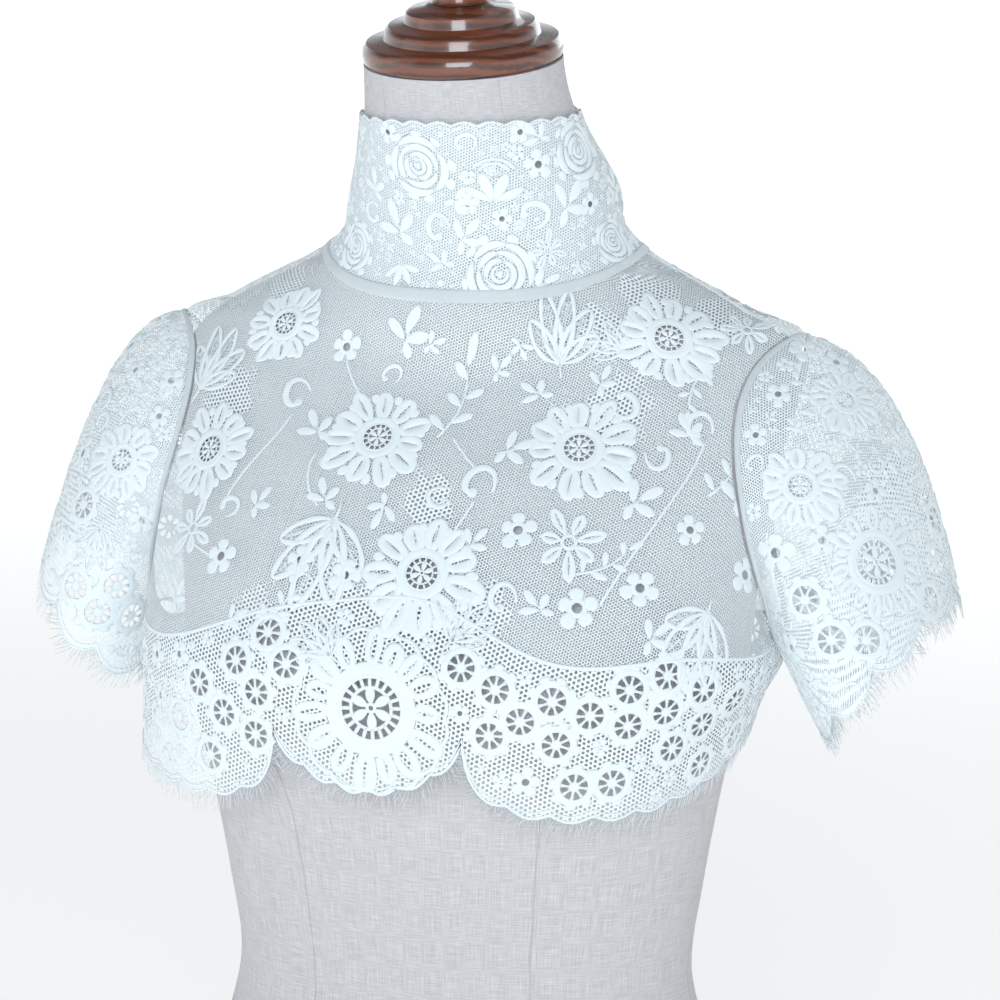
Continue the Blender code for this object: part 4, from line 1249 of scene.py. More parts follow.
def rose(size):
    """A full rose: a small round, and rings of broad curved petals with thin gaps between."""
    patches = [turned(petal(size * 0.20, size * 0.16, base=1.0), 0.0, (0.0, -size * 0.10))]
    rings = (
        (0.20, ((0.4, 5.5),), 0.13),
        (0.36, ((0.0, 3.9), (4.0, 2.1)), 0.19),
        (0.56, ((-0.6, 3.0), (2.5, 2.1), (4.65, 1.2)), 0.22),
        (0.79, ((-0.2, 1.8), (1.65, 1.6), (3.3, 1.5), (4.85, 1.3)), 0.26),
    )
    for radius, petals, width in rings:
        for start, span in petals:
            patches.append(crescent(size * radius, start, span, size * width))
    for k in range(9):
        turn = 2 * math.pi * (k + 0.2 * math.sin(3 * k)) / 9
        lobe = petal(size * (0.24 + 0.06 * math.sin(5 * k)), size * 0.42, base=0.8, sides=8)
        patches.append(set_round(lobe, turn, size * 0.86))
    return patches, 0.0


def tulip(size):
    """A cup-shaped bloom of net between two broad leaves."""
    foot = (0.0, -size * 0.5)
    patches = []
    for side in (-1, 1):
        patches.append(turned(petal(size * 0.72, size * 0.34, base=0.4, point=0.3), side * 0.42, foot))
        patches.append(turned(petal(size * 0.74, size * 0.26, base=0.45, point=0.5), side * 1.12, foot))
    for share in (0.36, 0.50):
        steps = np.linspace(-1.25, 1.25, 12)
        rim = np.stack((np.sin(steps) * size * share, size * (0.12 + share * 0.7 * np.cos(steps))), axis=1)
        patches.append(ribbon(rim, size * 0.07, PAD_HEIGHT))
    for k in (-2, -1, 0, 1, 2):
        patches.append(ribbon(((k * 0.8, size * 0.05), (size * 0.13 * k, size * 0.42)), 0.7))
    return patches, 0.0


MOTIFS = {
    "flower": flower,
    "hem_flower": hem_flower,
    "blossom": blossom,
    "bud": bud,
    "sprig": sprig,
    "branch": branch,
    "scroll": scroll,
    "fan": fan,
    "rose": rose,
    "tulip": tulip,
}


class Panel:
    """One lace panel: its cloth, its flat outline, the holes in its net, and the motifs laid on it."""

    def __init__(self, cloth, outline):
        """A bare panel."""
        self.cloth = cloth
        self.outline = outline
        self.holes = []
        self.patches = []
        self.cores = []

    def lay(self, patch, spot, slope):
        """Adds one flat shape, cut off where it would pass the panel's edge."""
        vertices, faces = patch
        flat = spot + vertices[:, :2] @ slope.T
        inside = inside_polygon(flat, self.outline)
        if np.mean(inside) < 0.5:
            return
        outside = np.flatnonzero(~inside)
        if len(outside):
            away = np.linalg.norm(flat[outside][:, None] - self.outline[None], axis=2)
            flat[outside] = self.outline[np.argmin(away, axis=1)]
        self.patches.append((self.cloth.point(flat, LIFT + vertices[:, 2]), faces))

    def add(self, made, spot, up, turn):
        """Adds a motif at a flat place, unless an open middle is already there."""
        patches, core = made
        slope = self.cloth.slope(spot, up, turn)
        if core > LEAST_HOLE:
            angle = np.linspace(0, 2 * math.pi, 22, endpoint=False)
            circle = np.stack((np.cos(angle), np.sin(angle)), axis=1) * core
            hole = spot + circle @ slope.T
            crowded = any(np.linalg.norm(spot - other) < (core + size) * 1.3 for other, size in self.cores)
            if crowded or not inside_polygon(hole, self.outline).all():
                return
            self.cores.append((spot, core))
            self.holes.append(hole)
        for patch in patches:
            self.lay(patch, spot, slope)

    def fill(self, kinds, spacing, least, most, seed, where=None):
        """Adds small motifs in what is left bare, each as large as its gap allows."""
        draw = np.random.default_rng(seed)
        spots = inner_grid(self.outline, [], spacing)
        spots = spots[draw.permutation(len(spots))]
        places = self.cloth.point(spots)
        if where is not None:
            keep = where(places)
            spots, places = spots[keep], places[keep]
        taken = np.concatenate([points for points, _ in self.patches] + [self.cloth.point(self.outline)])
        for spot, place in zip(spots, places):
            room = np.linalg.norm(taken - place, axis=1).min()
            if room < least:
                continue
            made = MOTIFS[kinds[draw.integers(len(kinds))]](min(room, most))
            first = len(self.patches)
            self.add(made, spot, WORLD_UP, draw.uniform(0, 360))
            taken = np.concatenate([taken] + [points for points, _ in self.patches[first:]])

    def add_line(self, flat, width, height=CORD_HEIGHT):
        """Adds a cord along flat places, all of them on the panel."""
        middle = flat[len(flat) // 2]
        slope = self.cloth.slope(middle, WORLD_UP, 0.0)
        vertices, faces = ribbon((flat - middle) @ np.linalg.inv(slope).T, width, height)
        places = middle + vertices[:, :2] @ slope.T
        self.patches.append((self.cloth.point(places, LIFT + vertices[:, 2]), faces))


def add_seen(panel, motifs):
    """Adds motifs at their pixels of the photograph."""
    up = camera_axes()[1]
    for kind, places in motifs.items():
        for across, down, size, turn in places:
            panel.add(MOTIFS[kind](size), panel.cloth.under((across, down)), up, turn)


def add_flat(panel, motifs, to_flat, mirror=1):
    """Adds motifs at places that to_flat turns into flat places."""
    for kind, places in motifs.items():
        for first, second, size, turn in places:
            panel.add(MOTIFS[kind](size), np.array(to_flat(first, second), float), WORLD_UP, turn * mirror)


def add_seen_wheels(panel, pixels):
    """Adds eyelet wheels at their pixels of the photograph."""
    up = camera_axes()[1]
    for number, pixel in enumerate(pixels):
        panel.add(wheel(WHEEL_RADIUS), panel.cloth.under(pixel), up, 17.0 * number)


@lru_cache(maxsize=None)
def bodice_cloth(facing):
    """The bodice's surface as seen from the front or the back."""
    return Cloth(bodice_point(facing), (-324, -270), (324, 270), -facing)


@lru_cache(maxsize=None)
def sleeve_cloth(side):
    """A sleeve's surface, a little past its underarm line on both sides."""
    reach = SLEEVE_DOMAIN[0] * (math.pi + 0.15)
    return Cloth(sleeve_point(side), (-reach, 0), (reach, SLEEVE_DOMAIN[1]), side)


@lru_cache(maxsize=None)
def collar_cloth():
    """The collar's surface, a little past its back opening on both sides."""
    first, last = (share * math.pi * COLLAR_RADIUS for share in (-1.55, 0.55))
    return Cloth(collar_point, (first, 560), (last, 676), 1)


def border_line(facing, start, end):
    """Flat places of the border's upper line between two directions."""
    direction = np.linspace(start, end, int(abs(end - start) * 1.2))
    return to_panel(wrap_point(direction, border_top(direction)), facing)


def hem_line(facing, start, end, inset):
    """Flat places of a line that follows the hem a little above it."""
    count = int(abs(end - start) * math.radians(1) * HEM_RADIUS / HEM_SPACING)
    direction = np.linspace(start, end, count)
    return to_panel(wrap_point(direction, hem_height(direction) + inset), facing)


def smooth_stem(knots):
    """A stem's flat places: a smooth line near a few knots."""
    steps = np.linspace(0, len(knots) - 1, 5 * len(knots))
    degree = min(3, len(knots) - 1)
    fit = np.polynomial.Polynomial.fit
    return np.stack([fit(range(len(knots)), knots[:, k], degree)(steps) for k in (0, 1)], axis=1)


@lru_cache(maxsize=None)
def bodice_panel(name):
    """The front or one back with all its motifs."""
    facing, sides = {"front": (-1, (1, -1)), "back_left": (1, (1,)), "back_right": (1, (-1,))}[name]
    panel = Panel(bodice_cloth(facing), panel_outline(facing, list(sides)))
    if name == "front":
        add_seen(panel, FRONT_MOTIFS)
        add_seen_wheels(panel, FRONT_WHEELS)
        for stem in FRONT_STEMS:
            panel.add_line(smooth_stem(np.array([panel.cloth.under(pixel) for pixel in stem])), STEM_WIDTH)
        span = (side_turn(-1) - 1.0, -side_turn(-1) + 1.0)
    else:
        side = sides[0]
        for direction, z in BACK_WHEELS:
            spot = to_panel(wrap_point(side * direction, z), facing)[0]
            panel.add(wheel(WHEEL_RADIUS), spot, WORLD_UP, direction)
        add_flat(panel, BACK_MOTIFS, lambda across, along: (side * across, along), side)
        span = (side * (side_turn(1) + 1.0), side * 179.2)
    panel.add_line(border_line(facing, *span), 2.0, PAD_HEIGHT)
    for inset, width in ((1.0, 1.6), (4.0, 1.1)):
        panel.add_line(hem_line(facing, *span, inset), width)
    for side in sides:
        seam = side_run(side, facing)
        panel.add_line(seam[:SHOULDER_POINTS] - (0.0, SEAM_INSET), SEAM_WIDTH)
        panel.add_line(seam[1 - SIDE_POINTS :] - (side * SEAM_INSET, 0.0), SEAM_WIDTH)
    panel.fill(*BORDER_FILL, where=lambda places: border_share(places) > 0.5)
    if name != "front":
        panel.fill(*BACK_FILL)
    return panel


@lru_cache(maxsize=None)
def sleeve_panel(side):
    """A sleeve with all its motifs, as one tube."""
    turn = np.linspace(-math.pi, math.pi, 190)
    top = sleeve_edge(turn, side, BAND_WIDTH - 0.6)
    low = cuff_edge(turn, side)
    rise = np.linspace(0, 1, 22)[1:-1, None]
    last = top[-1] * (1 - rise) + low[-1] * rise
    first = low[0] * (1 - rise) + top[0] * rise
    panel = Panel(sleeve_cloth(side), np.concatenate((top, last, low[::-1], first)))

    def to_flat(degrees, share):
        """Flat place at degrees from the sleeve's top and a share of its length."""
        return math.radians(degrees) * SLEEVE_DOMAIN[0], share * SLEEVE_DOMAIN[1]

    add_seen(panel, SLEEVE_MOTIFS[side])
    add_seen_wheels(panel, SLEEVE_WHEELS[side])
    for number, place in enumerate(SLEEVE_HIDDEN_WHEELS):
        panel.add(wheel(WHEEL_RADIUS), np.array(to_flat(*place)), WORLD_UP, 17.0 * number)
    add_flat(panel, SLEEVE_HIDDEN_MOTIFS, to_flat)
    for inset, width in ((1.0, 1.6), (4.0, 1.1)):
        panel.add_line(cuff_edge(np.linspace(-3.12, 3.12, 240), side, inset), width)
    panel.fill(*SLEEVE_FILL)
    return panel


@lru_cache(maxsize=None)
def collar_panel():
    """The stand collar with all its motifs."""
    turn = back_turns(120)
    low = collar_seam(turn)
    fine = np.linspace(turn[0], turn[-1], 8 * COLLAR_SCALLOPS + 1)
    top = np.stack((fine * COLLAR_RADIUS, collar_top(fine)), axis=1)
    rise = np.linspace(0, 1, 20)[1:-1, None]
    last = low[-1] * (1 - rise) + top[-1] * rise
    first = top[0] * (1 - rise) + low[0] * rise
    panel = Panel(collar_cloth(), np.concatenate((low, last, top[::-1], first)))

    def to_flat(degrees, z):
        """Flat place at degrees round from the wearer's left and a height."""
        return math.radians(degrees if degrees < 90 else degrees - 360) * COLLAR_RADIUS, z

    add_seen(panel, COLLAR_MOTIFS)
    add_flat(panel, COLLAR_HIDDEN_MOTIFS, to_flat)
    for inset, width in ((0.8, 1.2), (3.2, 0.8)):
        panel.add_line(np.stack((fine * COLLAR_RADIUS, collar_top(fine) - inset), axis=1)[2:-2], width)
    panel.fill(*COLLAR_FILL)
    return panel


# Materials


def new_node(tree, kind, **settings):
    """A node with its settings."""
    node = tree.nodes.new(kind)
    for key, value in settings.items():
        setattr(node, key, value)
    return node


def link(tree, value, socket):
    """Feeds a socket from another socket, or sets it."""
    if isinstance(value, bpy.types.NodeSocket):
        tree.links.new(value, socket)
    else:
        socket.default_value = value


def calc(tree, operation, *values, clamp=False):
    """The result of a sum on one to three values."""
    node = new_node(tree, "ShaderNodeMath", operation=operation, use_clamp=clamp)
    for socket, value in zip(node.inputs, values):
        link(tree, value, socket)
    return node.outputs[0]


def vector_calc(tree, operation, *values):
    """The result of a sum on vectors."""
    node = new_node(tree, "ShaderNodeVectorMath", operation=operation)
    for socket, value in zip(node.inputs, values):
        link(tree, value, socket)
    return node.outputs["Value" if operation == "LENGTH" else "Vector"]


def scaled(tree, vector, share):
    """A vector made longer or shorter."""
    node = new_node(tree, "ShaderNodeVectorMath", operation="SCALE")
    link(tree, vector, node.inputs[0])
    link(tree, share, node.inputs["Scale"])
    return node.outputs["Vector"]


def noise(tree, vector, scale, detail=3.0, rough=0.55):
    """Soft random values over a surface."""
    node = new_node(tree, "ShaderNodeTexNoise")
    link(tree, vector, node.inputs["Vector"])
    node.inputs["Scale"].default_value = scale
    node.inputs["Detail"].default_value = detail
    node.inputs["Roughness"].default_value = rough
    return node.outputs["Fac"]


def remap(tree, value, low, high, to_low=0.0, to_high=1.0):
    """A value moved softly from one range to another and kept in it."""
    node = new_node(tree, "ShaderNodeMapRange", interpolation_type="SMOOTHSTEP")
    for socket, item in zip(node.inputs, (value, low, high, to_low, to_high)):
        link(tree, item, socket)
    return node.outputs["Result"]


def blend(tree, share, first, second):
    """A colour between two."""
    node = new_node(tree, "ShaderNodeMix", data_type="RGBA")
    link(tree, share, node.inputs["Factor"])
    link(tree, first, node.inputs["A"])
    link(tree, second, node.inputs["B"])
    return node.outputs["Result"]


def new_group(name, inputs, outputs):
    """A shader node group with named inputs and outputs."""
    group = bpy.data.node_groups.new(name, "ShaderNodeTree")
    for label, kind, value in inputs:
        socket = group.interface.new_socket(name=label, in_out="INPUT", socket_type=kind)
        if value is not None:
            socket.default_value = value
    for label, kind in outputs:
        group.interface.new_socket(name=label, in_out="OUTPUT", socket_type=kind)
    return group, new_node(group, "NodeGroupInput").outputs, new_node(group, "NodeGroupOutput").inputs


FLOAT = "NodeSocketFloat"
VECTOR = "NodeSocketVector"


def round_cells(tree, place, cell, thread):
    """1 on the threads and 0 in the round cells of a hexagonal net."""
    tall = math.sqrt(3)
    scale = new_node(tree, "ShaderNodeCombineXYZ")
    link(tree, calc(tree, "DIVIDE", 1.0, cell), scale.inputs[0])
    link(tree, calc(tree, "DIVIDE", 1.0 / tall, cell), scale.inputs[1])
    slant = new_node(tree, "ShaderNodeVectorRotate", rotation_type="Z_AXIS")
    slant.inputs["Angle"].default_value = math.radians(38)
    link(tree, place, slant.inputs["Vector"])
    lattice = vector_calc(tree, "MULTIPLY", slant.outputs["Vector"], scale.outputs[0])
    reaches = []
    for offset in (0.0, 0.5):
        spot = vector_calc(tree, "FRACTION", vector_calc(tree, "ADD", lattice, (offset, offset, 0.0)))
        spot = vector_calc(tree, "SUBTRACT", spot, (0.5, 0.5, 0.0))
        spot = vector_calc(tree, "MULTIPLY", spot, (1.0, tall, 0.0))
        reaches.append(vector_calc(tree, "LENGTH", spot))
    reach = calc(tree, "MINIMUM", *reaches)
    hole = calc(tree, "SUBTRACT", 0.56, thread)
    return remap(tree, reach, calc(tree, "SUBTRACT", hole, 0.05), calc(tree, "ADD", hole, 0.05))


@lru_cache(maxsize=None)
def net_group():
    """Net of twisted thread: fine in the ground and coarse in the border."""
    inputs = (
        ("Place", VECTOR, None),
        ("Cell", FLOAT, 1.8),
        ("Thread", FLOAT, 0.205),
        ("Border", FLOAT, 0.0),
        ("Full", FLOAT, 0.0),
    )
    group, given, out = new_group("net_of_thread", inputs, (("Mask", FLOAT),))
    place = given["Place"]
    drift = new_node(group, "ShaderNodeTexNoise")
    link(group, place, drift.inputs["Vector"])
    drift.inputs["Scale"].default_value = 0.35
    sway = scaled(group, vector_calc(group, "SUBTRACT", drift.outputs["Color"], (0.5, 0.5, 0.5)), 0.9)
    place = vector_calc(group, "ADD", place, sway)
    unevenness = remap(group, noise(group, place, 0.9, 1.0), 0.3, 0.7, -0.03, 0.03)
    unevenness = calc(group, "ADD", unevenness, calc(group, "MULTIPLY", given["Full"], 0.16))
    fine = round_cells(group, place, given["Cell"], calc(group, "ADD", given["Thread"], unevenness))
    wide = calc(group, "MULTIPLY", given["Cell"], 1.6)
    thick = calc(group, "ADD", calc(group, "MULTIPLY", given["Thread"], 1.25), unevenness)
    coarse = round_cells(group, place, wide, thick)
    share = remap(group, given["Border"], 0.3, 0.7)
    coarse_part = calc(group, "MULTIPLY", coarse, share)
    fine_part = calc(group, "MULTIPLY", fine, calc(group, "SUBTRACT", 1.0, share))
    link(group, calc(group, "ADD", coarse_part, fine_part), out["Mask"])
    return group


@lru_cache(maxsize=None)
def stitch_group():
    """Close woven fill: fine ribs crossed by uneven threads."""
    inputs = (("Place", VECTOR, None), ("Rib", FLOAT, 900.0))
    group, given, out = new_group("woven_fill", inputs, (("Shade", FLOAT), ("Height", FLOAT)))
    ribs = new_node(group, "ShaderNodeTexWave", wave_type="BANDS", bands_direction="DIAGONAL")
    link(group, given["Place"], ribs.inputs["Vector"])
    link(group, given["Rib"], ribs.inputs["Scale"])
    ribs.inputs["Distortion"].default_value = 2.0
    ribs.inputs["Detail"].default_value = 1.0
    threads = noise(group, given["Place"], 1400.0, 2.0)
    patches = noise(group, given["Place"], 60.0, 2.0)
    height = calc(group, "ADD", calc(group, "MULTIPLY", ribs.outputs["Fac"], 0.5), threads)
    link(group, height, out["Height"])
    shade = calc(group, "ADD", calc(group, "MULTIPLY", threads, 0.5), calc(group, "MULTIPLY", patches, 0.5))
    link(group, shade, out["Shade"])
    return group


@lru_cache(maxsize=None)
def slub_group():
    """Plain linen weave with slubs along both threads."""
    inputs = (("Place", VECTOR, None), ("Pace", FLOAT, 1.0))
    outputs = (("Shade", FLOAT), ("Slub", FLOAT), ("Fleck", FLOAT), ("Height", FLOAT))
    group, given, out = new_group("slub_weave", inputs, outputs)
    place = scaled(group, given["Place"], given["Pace"])
    stretched = []
    for size in ((1.6, 0.045, 1.0), (0.045, 1.6, 1.0)):
        stretched.append(noise(group, vector_calc(group, "MULTIPLY", place, size), 1.0, 3.0, 0.6))
    grid = []
    for direction in ("X", "Y"):
        wave = new_node(group, "ShaderNodeTexWave", wave_type="BANDS", bands_direction=direction)
        link(group, place, wave.inputs["Vector"])
        wave.inputs["Scale"].default_value = 0.42
        wave.inputs["Distortion"].default_value = 0.8
        wave.inputs["Detail"].default_value = 2.0
        grid.append(wave.outputs["Fac"])
    weave = calc(group, "MULTIPLY", grid[0], grid[1])
    slub = calc(group, "MAXIMUM", *stretched)
    link(group, remap(group, slub, 0.60, 0.72), out["Slub"])
    link(group, calc(group, "ADD", *stretched), out["Shade"])
    specks = noise(group, vector_calc(group, "MULTIPLY", place, (0.75, 0.30, 1.0)), 1.0, 4.0, 0.75)
    link(group, remap(group, specks, 0.60, 0.70), out["Fleck"])
    height = calc(group, "ADD", calc(group, "MULTIPLY", weave, 0.4), calc(group, "ADD", *stretched))
    link(group, height, out["Height"])
    return group


@lru_cache(maxsize=None)
def grain_group():
    """Turned hardwood grain: long streaks with short pores."""
    inputs = (("Place", VECTOR, None), ("Size", FLOAT, 1.0))
    group, given, out = new_group("turned_wood_grain", inputs, (("Shade", FLOAT), ("Pores", FLOAT)))
    place = scaled(group, given["Place"], given["Size"])
    streaks = noise(group, vector_calc(group, "MULTIPLY", place, (30.0, 260.0, 320.0)), 1.0, 4.0, 0.6)
    rings = new_node(group, "ShaderNodeTexWave", wave_type="BANDS", bands_direction="Z")
    link(group, vector_calc(group, "MULTIPLY", place, (6.0, 40.0, 46.0)), rings.inputs["Vector"])
    rings.inputs["Scale"].default_value = 1.4
    rings.inputs["Distortion"].default_value = 5.0
    rings.inputs["Detail"].default_value = 3.0
    streak_part = calc(group, "MULTIPLY", streaks, 0.6)
    ring_part = calc(group, "MULTIPLY", rings.outputs["Fac"], 0.4)
    link(group, calc(group, "ADD", streak_part, ring_part), out["Shade"])
    pores = noise(group, vector_calc(group, "MULTIPLY", place, (90.0, 900.0, 900.0)), 1.0, 2.0)
    link(group, remap(group, pores, 0.62, 0.72), out["Pores"])
    return group


def new_material(name, roughness, **inputs):
    """A material with its shader, its node tree, and constant values set on the shader."""
    material = bpy.data.materials.new(name)
    material.use_nodes = True
    shader = material.node_tree.nodes["Principled BSDF"]
    shader.inputs["Roughness"].default_value = roughness
    for label, value in inputs.items():
        shader.inputs[label.replace("_", " ").title().replace("Ior", "IOR")].default_value = value
    return material, material.node_tree, shader


def use_group(tree, group, **values):
    """A node group placed in a material, with its own values."""
    node = new_node(tree, "ShaderNodeGroup", node_tree=group)
    for label, value in values.items():
        link(tree, value, node.inputs[label])
    return node.outputs


def add_bump(tree, shader, height, strength, distance):
    """Feeds the shader's normal from heights over the surface."""
    bump = new_node(tree, "ShaderNodeBump")
    bump.inputs["Strength"].default_value = strength
    bump.inputs["Distance"].default_value = distance
    link(tree, height, bump.inputs["Height"])
    link(tree, bump.outputs["Normal"], shader.inputs["Normal"])


def object_place(tree):
    """Object coordinates."""
    return new_node(tree, "ShaderNodeTexCoord").outputs["Object"]


@lru_cache(maxsize=None)
def net_material():
    """White net, open between its threads."""
    lace = bpy.context.scene.lace_settings
    material, tree, shader = new_material("lace_net", 0.7, sheen_weight=0.2)
    place = new_node(tree, "ShaderNodeUVMap", uv_map="Cloth").outputs["UV"]
    place = scaled(tree, place, 1.0 / METRES)
    border = new_node(tree, "ShaderNodeAttribute", attribute_name="border").outputs["Fac"]
    full = new_node(tree, "ShaderNodeAttribute", attribute_name="fullness").outputs["Fac"]
    cell = lace.net_cell / METRES
    thread = lace.thread_share
    net = use_group(tree, net_group(), Place=place, Cell=cell, Thread=thread, Border=border, Full=full)
    tint = noise(tree, object_place(tree), 40.0)
    colour = blend(tree, tint, (*lace.colour, 1.0), tuple(c * 0.96 for c in lace.colour) + (1.0,))
    link(tree, colour, shader.inputs["Base Color"])
    link(tree, net["Mask"], shader.inputs["Alpha"])
    add_bump(tree, shader, net["Mask"], 0.4, 0.0002)
    return material


@lru_cache(maxsize=None)
def woven_material():
    """The lace's closely woven flowers and cords."""
    lace = bpy.context.scene.lace_settings
    material, tree, shader = new_material("lace_woven", 0.62, sheen_weight=0.25)
    fill = use_group(tree, stitch_group(), Place=object_place(tree), Rib=700.0)
    shaded = tuple(c * 0.90 for c in lace.colour) + (1.0,)
    link(tree, blend(tree, fill["Shade"], shaded, (*lace.colour, 1.0)), shader.inputs["Base Color"])
    add_bump(tree, shader, fill["Height"], 0.35, 0.0003)
    return material


@lru_cache(maxsize=None)
def tape_material():
    """Smooth seam tape with a row of stitches' slight ribbing."""
    lace = bpy.context.scene.lace_settings
    material, tree, shader = new_material("seam_tape", 0.55, sheen_weight=0.2)
    fill = use_group(tree, stitch_group(), Place=object_place(tree), Rib=1500.0)
    light, shaded = (tuple(c * share for c in lace.colour) + (1.0,) for share in (1.0, 0.80))
    link(tree, blend(tree, fill["Shade"], shaded, light), shader.inputs["Base Color"])
    add_bump(tree, shader, fill["Height"], 0.6, 0.0006)
    return material


@lru_cache(maxsize=None)
def linen_material():
    """Natural linen on the form."""
    form = bpy.context.scene.form_settings
    material, tree, shader = new_material("slub_linen", 0.9, sheen_weight=0.15)
    place = new_node(tree, "ShaderNodeUVMap", uv_map="Cloth").outputs["UV"]
    place = scaled(tree, place, 1.0 / METRES)
    weave = use_group(tree, slub_group(), Place=place, Pace=form.weave_pace)
    base = tuple(form.linen_colour)
    pale = tuple(min(c * 1.20, 1.0) for c in base) + (1.0,)
    deep = tuple(c * k for c, k in zip(base, (0.80, 0.79, 0.78))) + (1.0,)
    ground = blend(tree, remap(tree, weave["Shade"], 0.7, 1.3), pale, deep)
    brown = tuple(c * k for c, k in zip(base, (0.72, 0.62, 0.52))) + (1.0,)
    slubbed = blend(tree, calc(tree, "MULTIPLY", weave["Slub"], 0.35), ground, pale)
    flecked = blend(tree, calc(tree, "MULTIPLY", weave["Fleck"], 0.55), slubbed, brown)
    around = new_node(tree, "ShaderNodeSeparateXYZ")
    link(tree, place, around.inputs[0])
    # Seams: a bump groove, with the colour drawn towards brown along it as painted shade
    seam = 0.0
    for turn in FORM_SEAMS_AND_SHADE:
        place = math.radians(turn) * FORM_UV_RADIUS
        away = calc(tree, "ABSOLUTE", calc(tree, "SUBTRACT", around.outputs["X"], place))
        seam = calc(tree, "MAXIMUM", remap(tree, away, 0.25, 0.9, 1.0, 0.0), seam)
    # Painted shade: the brown line along each seam
    link(tree, blend(tree, calc(tree, "MULTIPLY", seam, 0.35), flecked, brown), shader.inputs["Base Color"])
    height = calc(tree, "SUBTRACT", weave["Height"], calc(tree, "MULTIPLY", seam, 2.0))
    add_bump(tree, shader, height, 0.5, 0.0006)
    return material


@lru_cache(maxsize=None)
def wood_material():
    """Dark red-brown varnished wood."""
    form = bpy.context.scene.form_settings
    material, tree, shader = new_material("varnished_wood", 0.3, coat_weight=1.0, coat_roughness=0.08)
    grain = use_group(tree, grain_group(), Place=object_place(tree), Size=1.0)
    base = tuple(form.wood_colour)
    light = tuple(c * 1.7 for c in base) + (1.0,)
    dark = tuple(c * 0.62 for c in base) + (1.0,)
    ground = blend(tree, remap(tree, grain["Shade"], 0.3, 0.7), dark, light)
    pores = calc(tree, "MULTIPLY", grain["Pores"], 0.6)
    link(tree, blend(tree, pores, ground, dark), shader.inputs["Base Color"])
    link(tree, remap(tree, grain["Shade"], 0.3, 0.7, 0.22, 0.36), shader.inputs["Roughness"])
    add_bump(tree, shader, grain["Pores"], 0.08, 0.0002)
    return material


@lru_cache(maxsize=None)
def button_material():
    """Pearly white."""
    material, tree, shader = new_material("pearl_button", 0.2, coat_weight=0.6, coat_roughness=0.1)
    cloud = noise(tree, object_place(tree), 260.0, 4.0)
    pearl = blend(tree, cloud, (0.86, 0.87, 0.86, 1.0), (0.95, 0.93, 0.92, 1.0))
    link(tree, pearl, shader.inputs["Base Color"])
    return material


def studio_material(colour):
    """White paper, brighter away from the object so that it stays white to its far side."""
    material, tree, shader = new_material("studio_paper", 0.9)
    shader.inputs["Base Color"].default_value = (*colour, 1.0)
    place = vector_calc(tree, "MULTIPLY", object_place(tree), (1.0, 1.0, 0.0))
    glow = remap(tree, vector_calc(tree, "LENGTH", place), *PAPER_FADE, *PAPER_GLOW)
    link(tree, blend(tree, glow, (0.0, 0.0, 0.0, 1.0), (1.0, 1.0, 1.0, 1.0)), shader.inputs["Emission Color"])
    shader.inputs["Emission Strength"].default_value = 1.0
    return material


# Objects


def add_mesh(name, vertices, faces, material, slot, uv=None, shares=()):
    """A mesh object at the origin, from places in millimetres, that rides on the form."""
    mesh = bpy.data.meshes.new(name)
    points = np.asarray(vertices) * METRES
    mesh.from_pydata([tuple(p) for p in points], [], [tuple(int(i) for i in f) for f in faces])
    mesh.shade_smooth()
    if uv is not None:
        layer = mesh.uv_layers.new(name="Cloth")
        corners = np.zeros(len(mesh.loops), int)
        mesh.loops.foreach_get("vertex_index", corners)
        layer.data.foreach_set("uv", (uv[corners] * METRES).ravel())
    for label, values in shares:
        attribute = mesh.attributes.new(label, "FLOAT", "POINT")
        attribute.data.foreach_set("value", values)
    mesh.materials.append(material)
    thing = bpy.data.objects.new(name, mesh)
    bpy.context.scene.collection.objects.link(thing)
    settle(thing, slot)
    return thing


def settle(thing, slot):
    """Makes a piece ride on the form. Its slot, the name of its finish, is not used."""
    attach(thing, BODY)


def joined(patches):
    """The vertices and faces of many patches as one mesh."""
    vertices, faces, first = [], [], 0
    for points, polygons in patches:
        vertices.append(points)
        faces += [tuple(first + i for i in polygon) for polygon in polygons]
        first += len(points)
    return np.concatenate(vertices), faces


def border_share(points):
    """1 on the border's coarse ground above the hem, and 0 on the fine net."""
    direction = np.degrees(np.arctan2(points[:, 0], CHEST[1] - points[:, 1]))
    return np.clip((border_top(direction) - points[:, 2]) / BORDER_FADE + 0.5, 0, 1)


def front_border(points):
    """1 where the front's ground is coarse: in its border and in patches round its motifs."""
    share = border_share(points)
    cloth = bodice_cloth(-1)
    for across, down, reach in FRONT_COARSE:
        centre = cloth.point(cloth.under((across, down))[None])[0]
        away = (points - centre) * (1.0, 1.0, 0.6)
        ragged = 0.28 * np.sin(points[:, 0] * 0.42) * np.sin(points[:, 2] * 0.37 + points[:, 0] * 0.2)
        share = np.maximum(share, np.clip(1.4 + ragged - np.linalg.norm(away, axis=1) / reach, 0, 1))
    return share


def add_net(name, panel, spacing, border, full, merged=False):
    """The net of one panel, open inside its flowers and wheels. full is how thick its ground is worked."""
    flat, faces = triangulate(panel.outline, panel.holes, spacing)
    points = panel.cloth.point(flat)
    if panel.cloth.outward < 0:
        faces = faces[:, ::-1]
    measure = panel.cloth.read(panel.cloth.measure, flat)
    shares = (("border", border(flat, points)), ("fullness", np.full(len(flat), full)))
    net = add_mesh(name, points, faces, net_material(), "lace", measure, shares)
    if merged:
        edit(net)
        bpy.ops.mesh.remove_doubles(threshold=0.00005)
        bpy.ops.object.mode_set(mode="OBJECT")
    return net


def add_lace_work(name, panel):
    """The flowers, wheels and cords of one panel as one piece."""
    vertices, faces = joined(panel.patches)
    return add_mesh(name, vertices, faces, woven_material(), "lace")


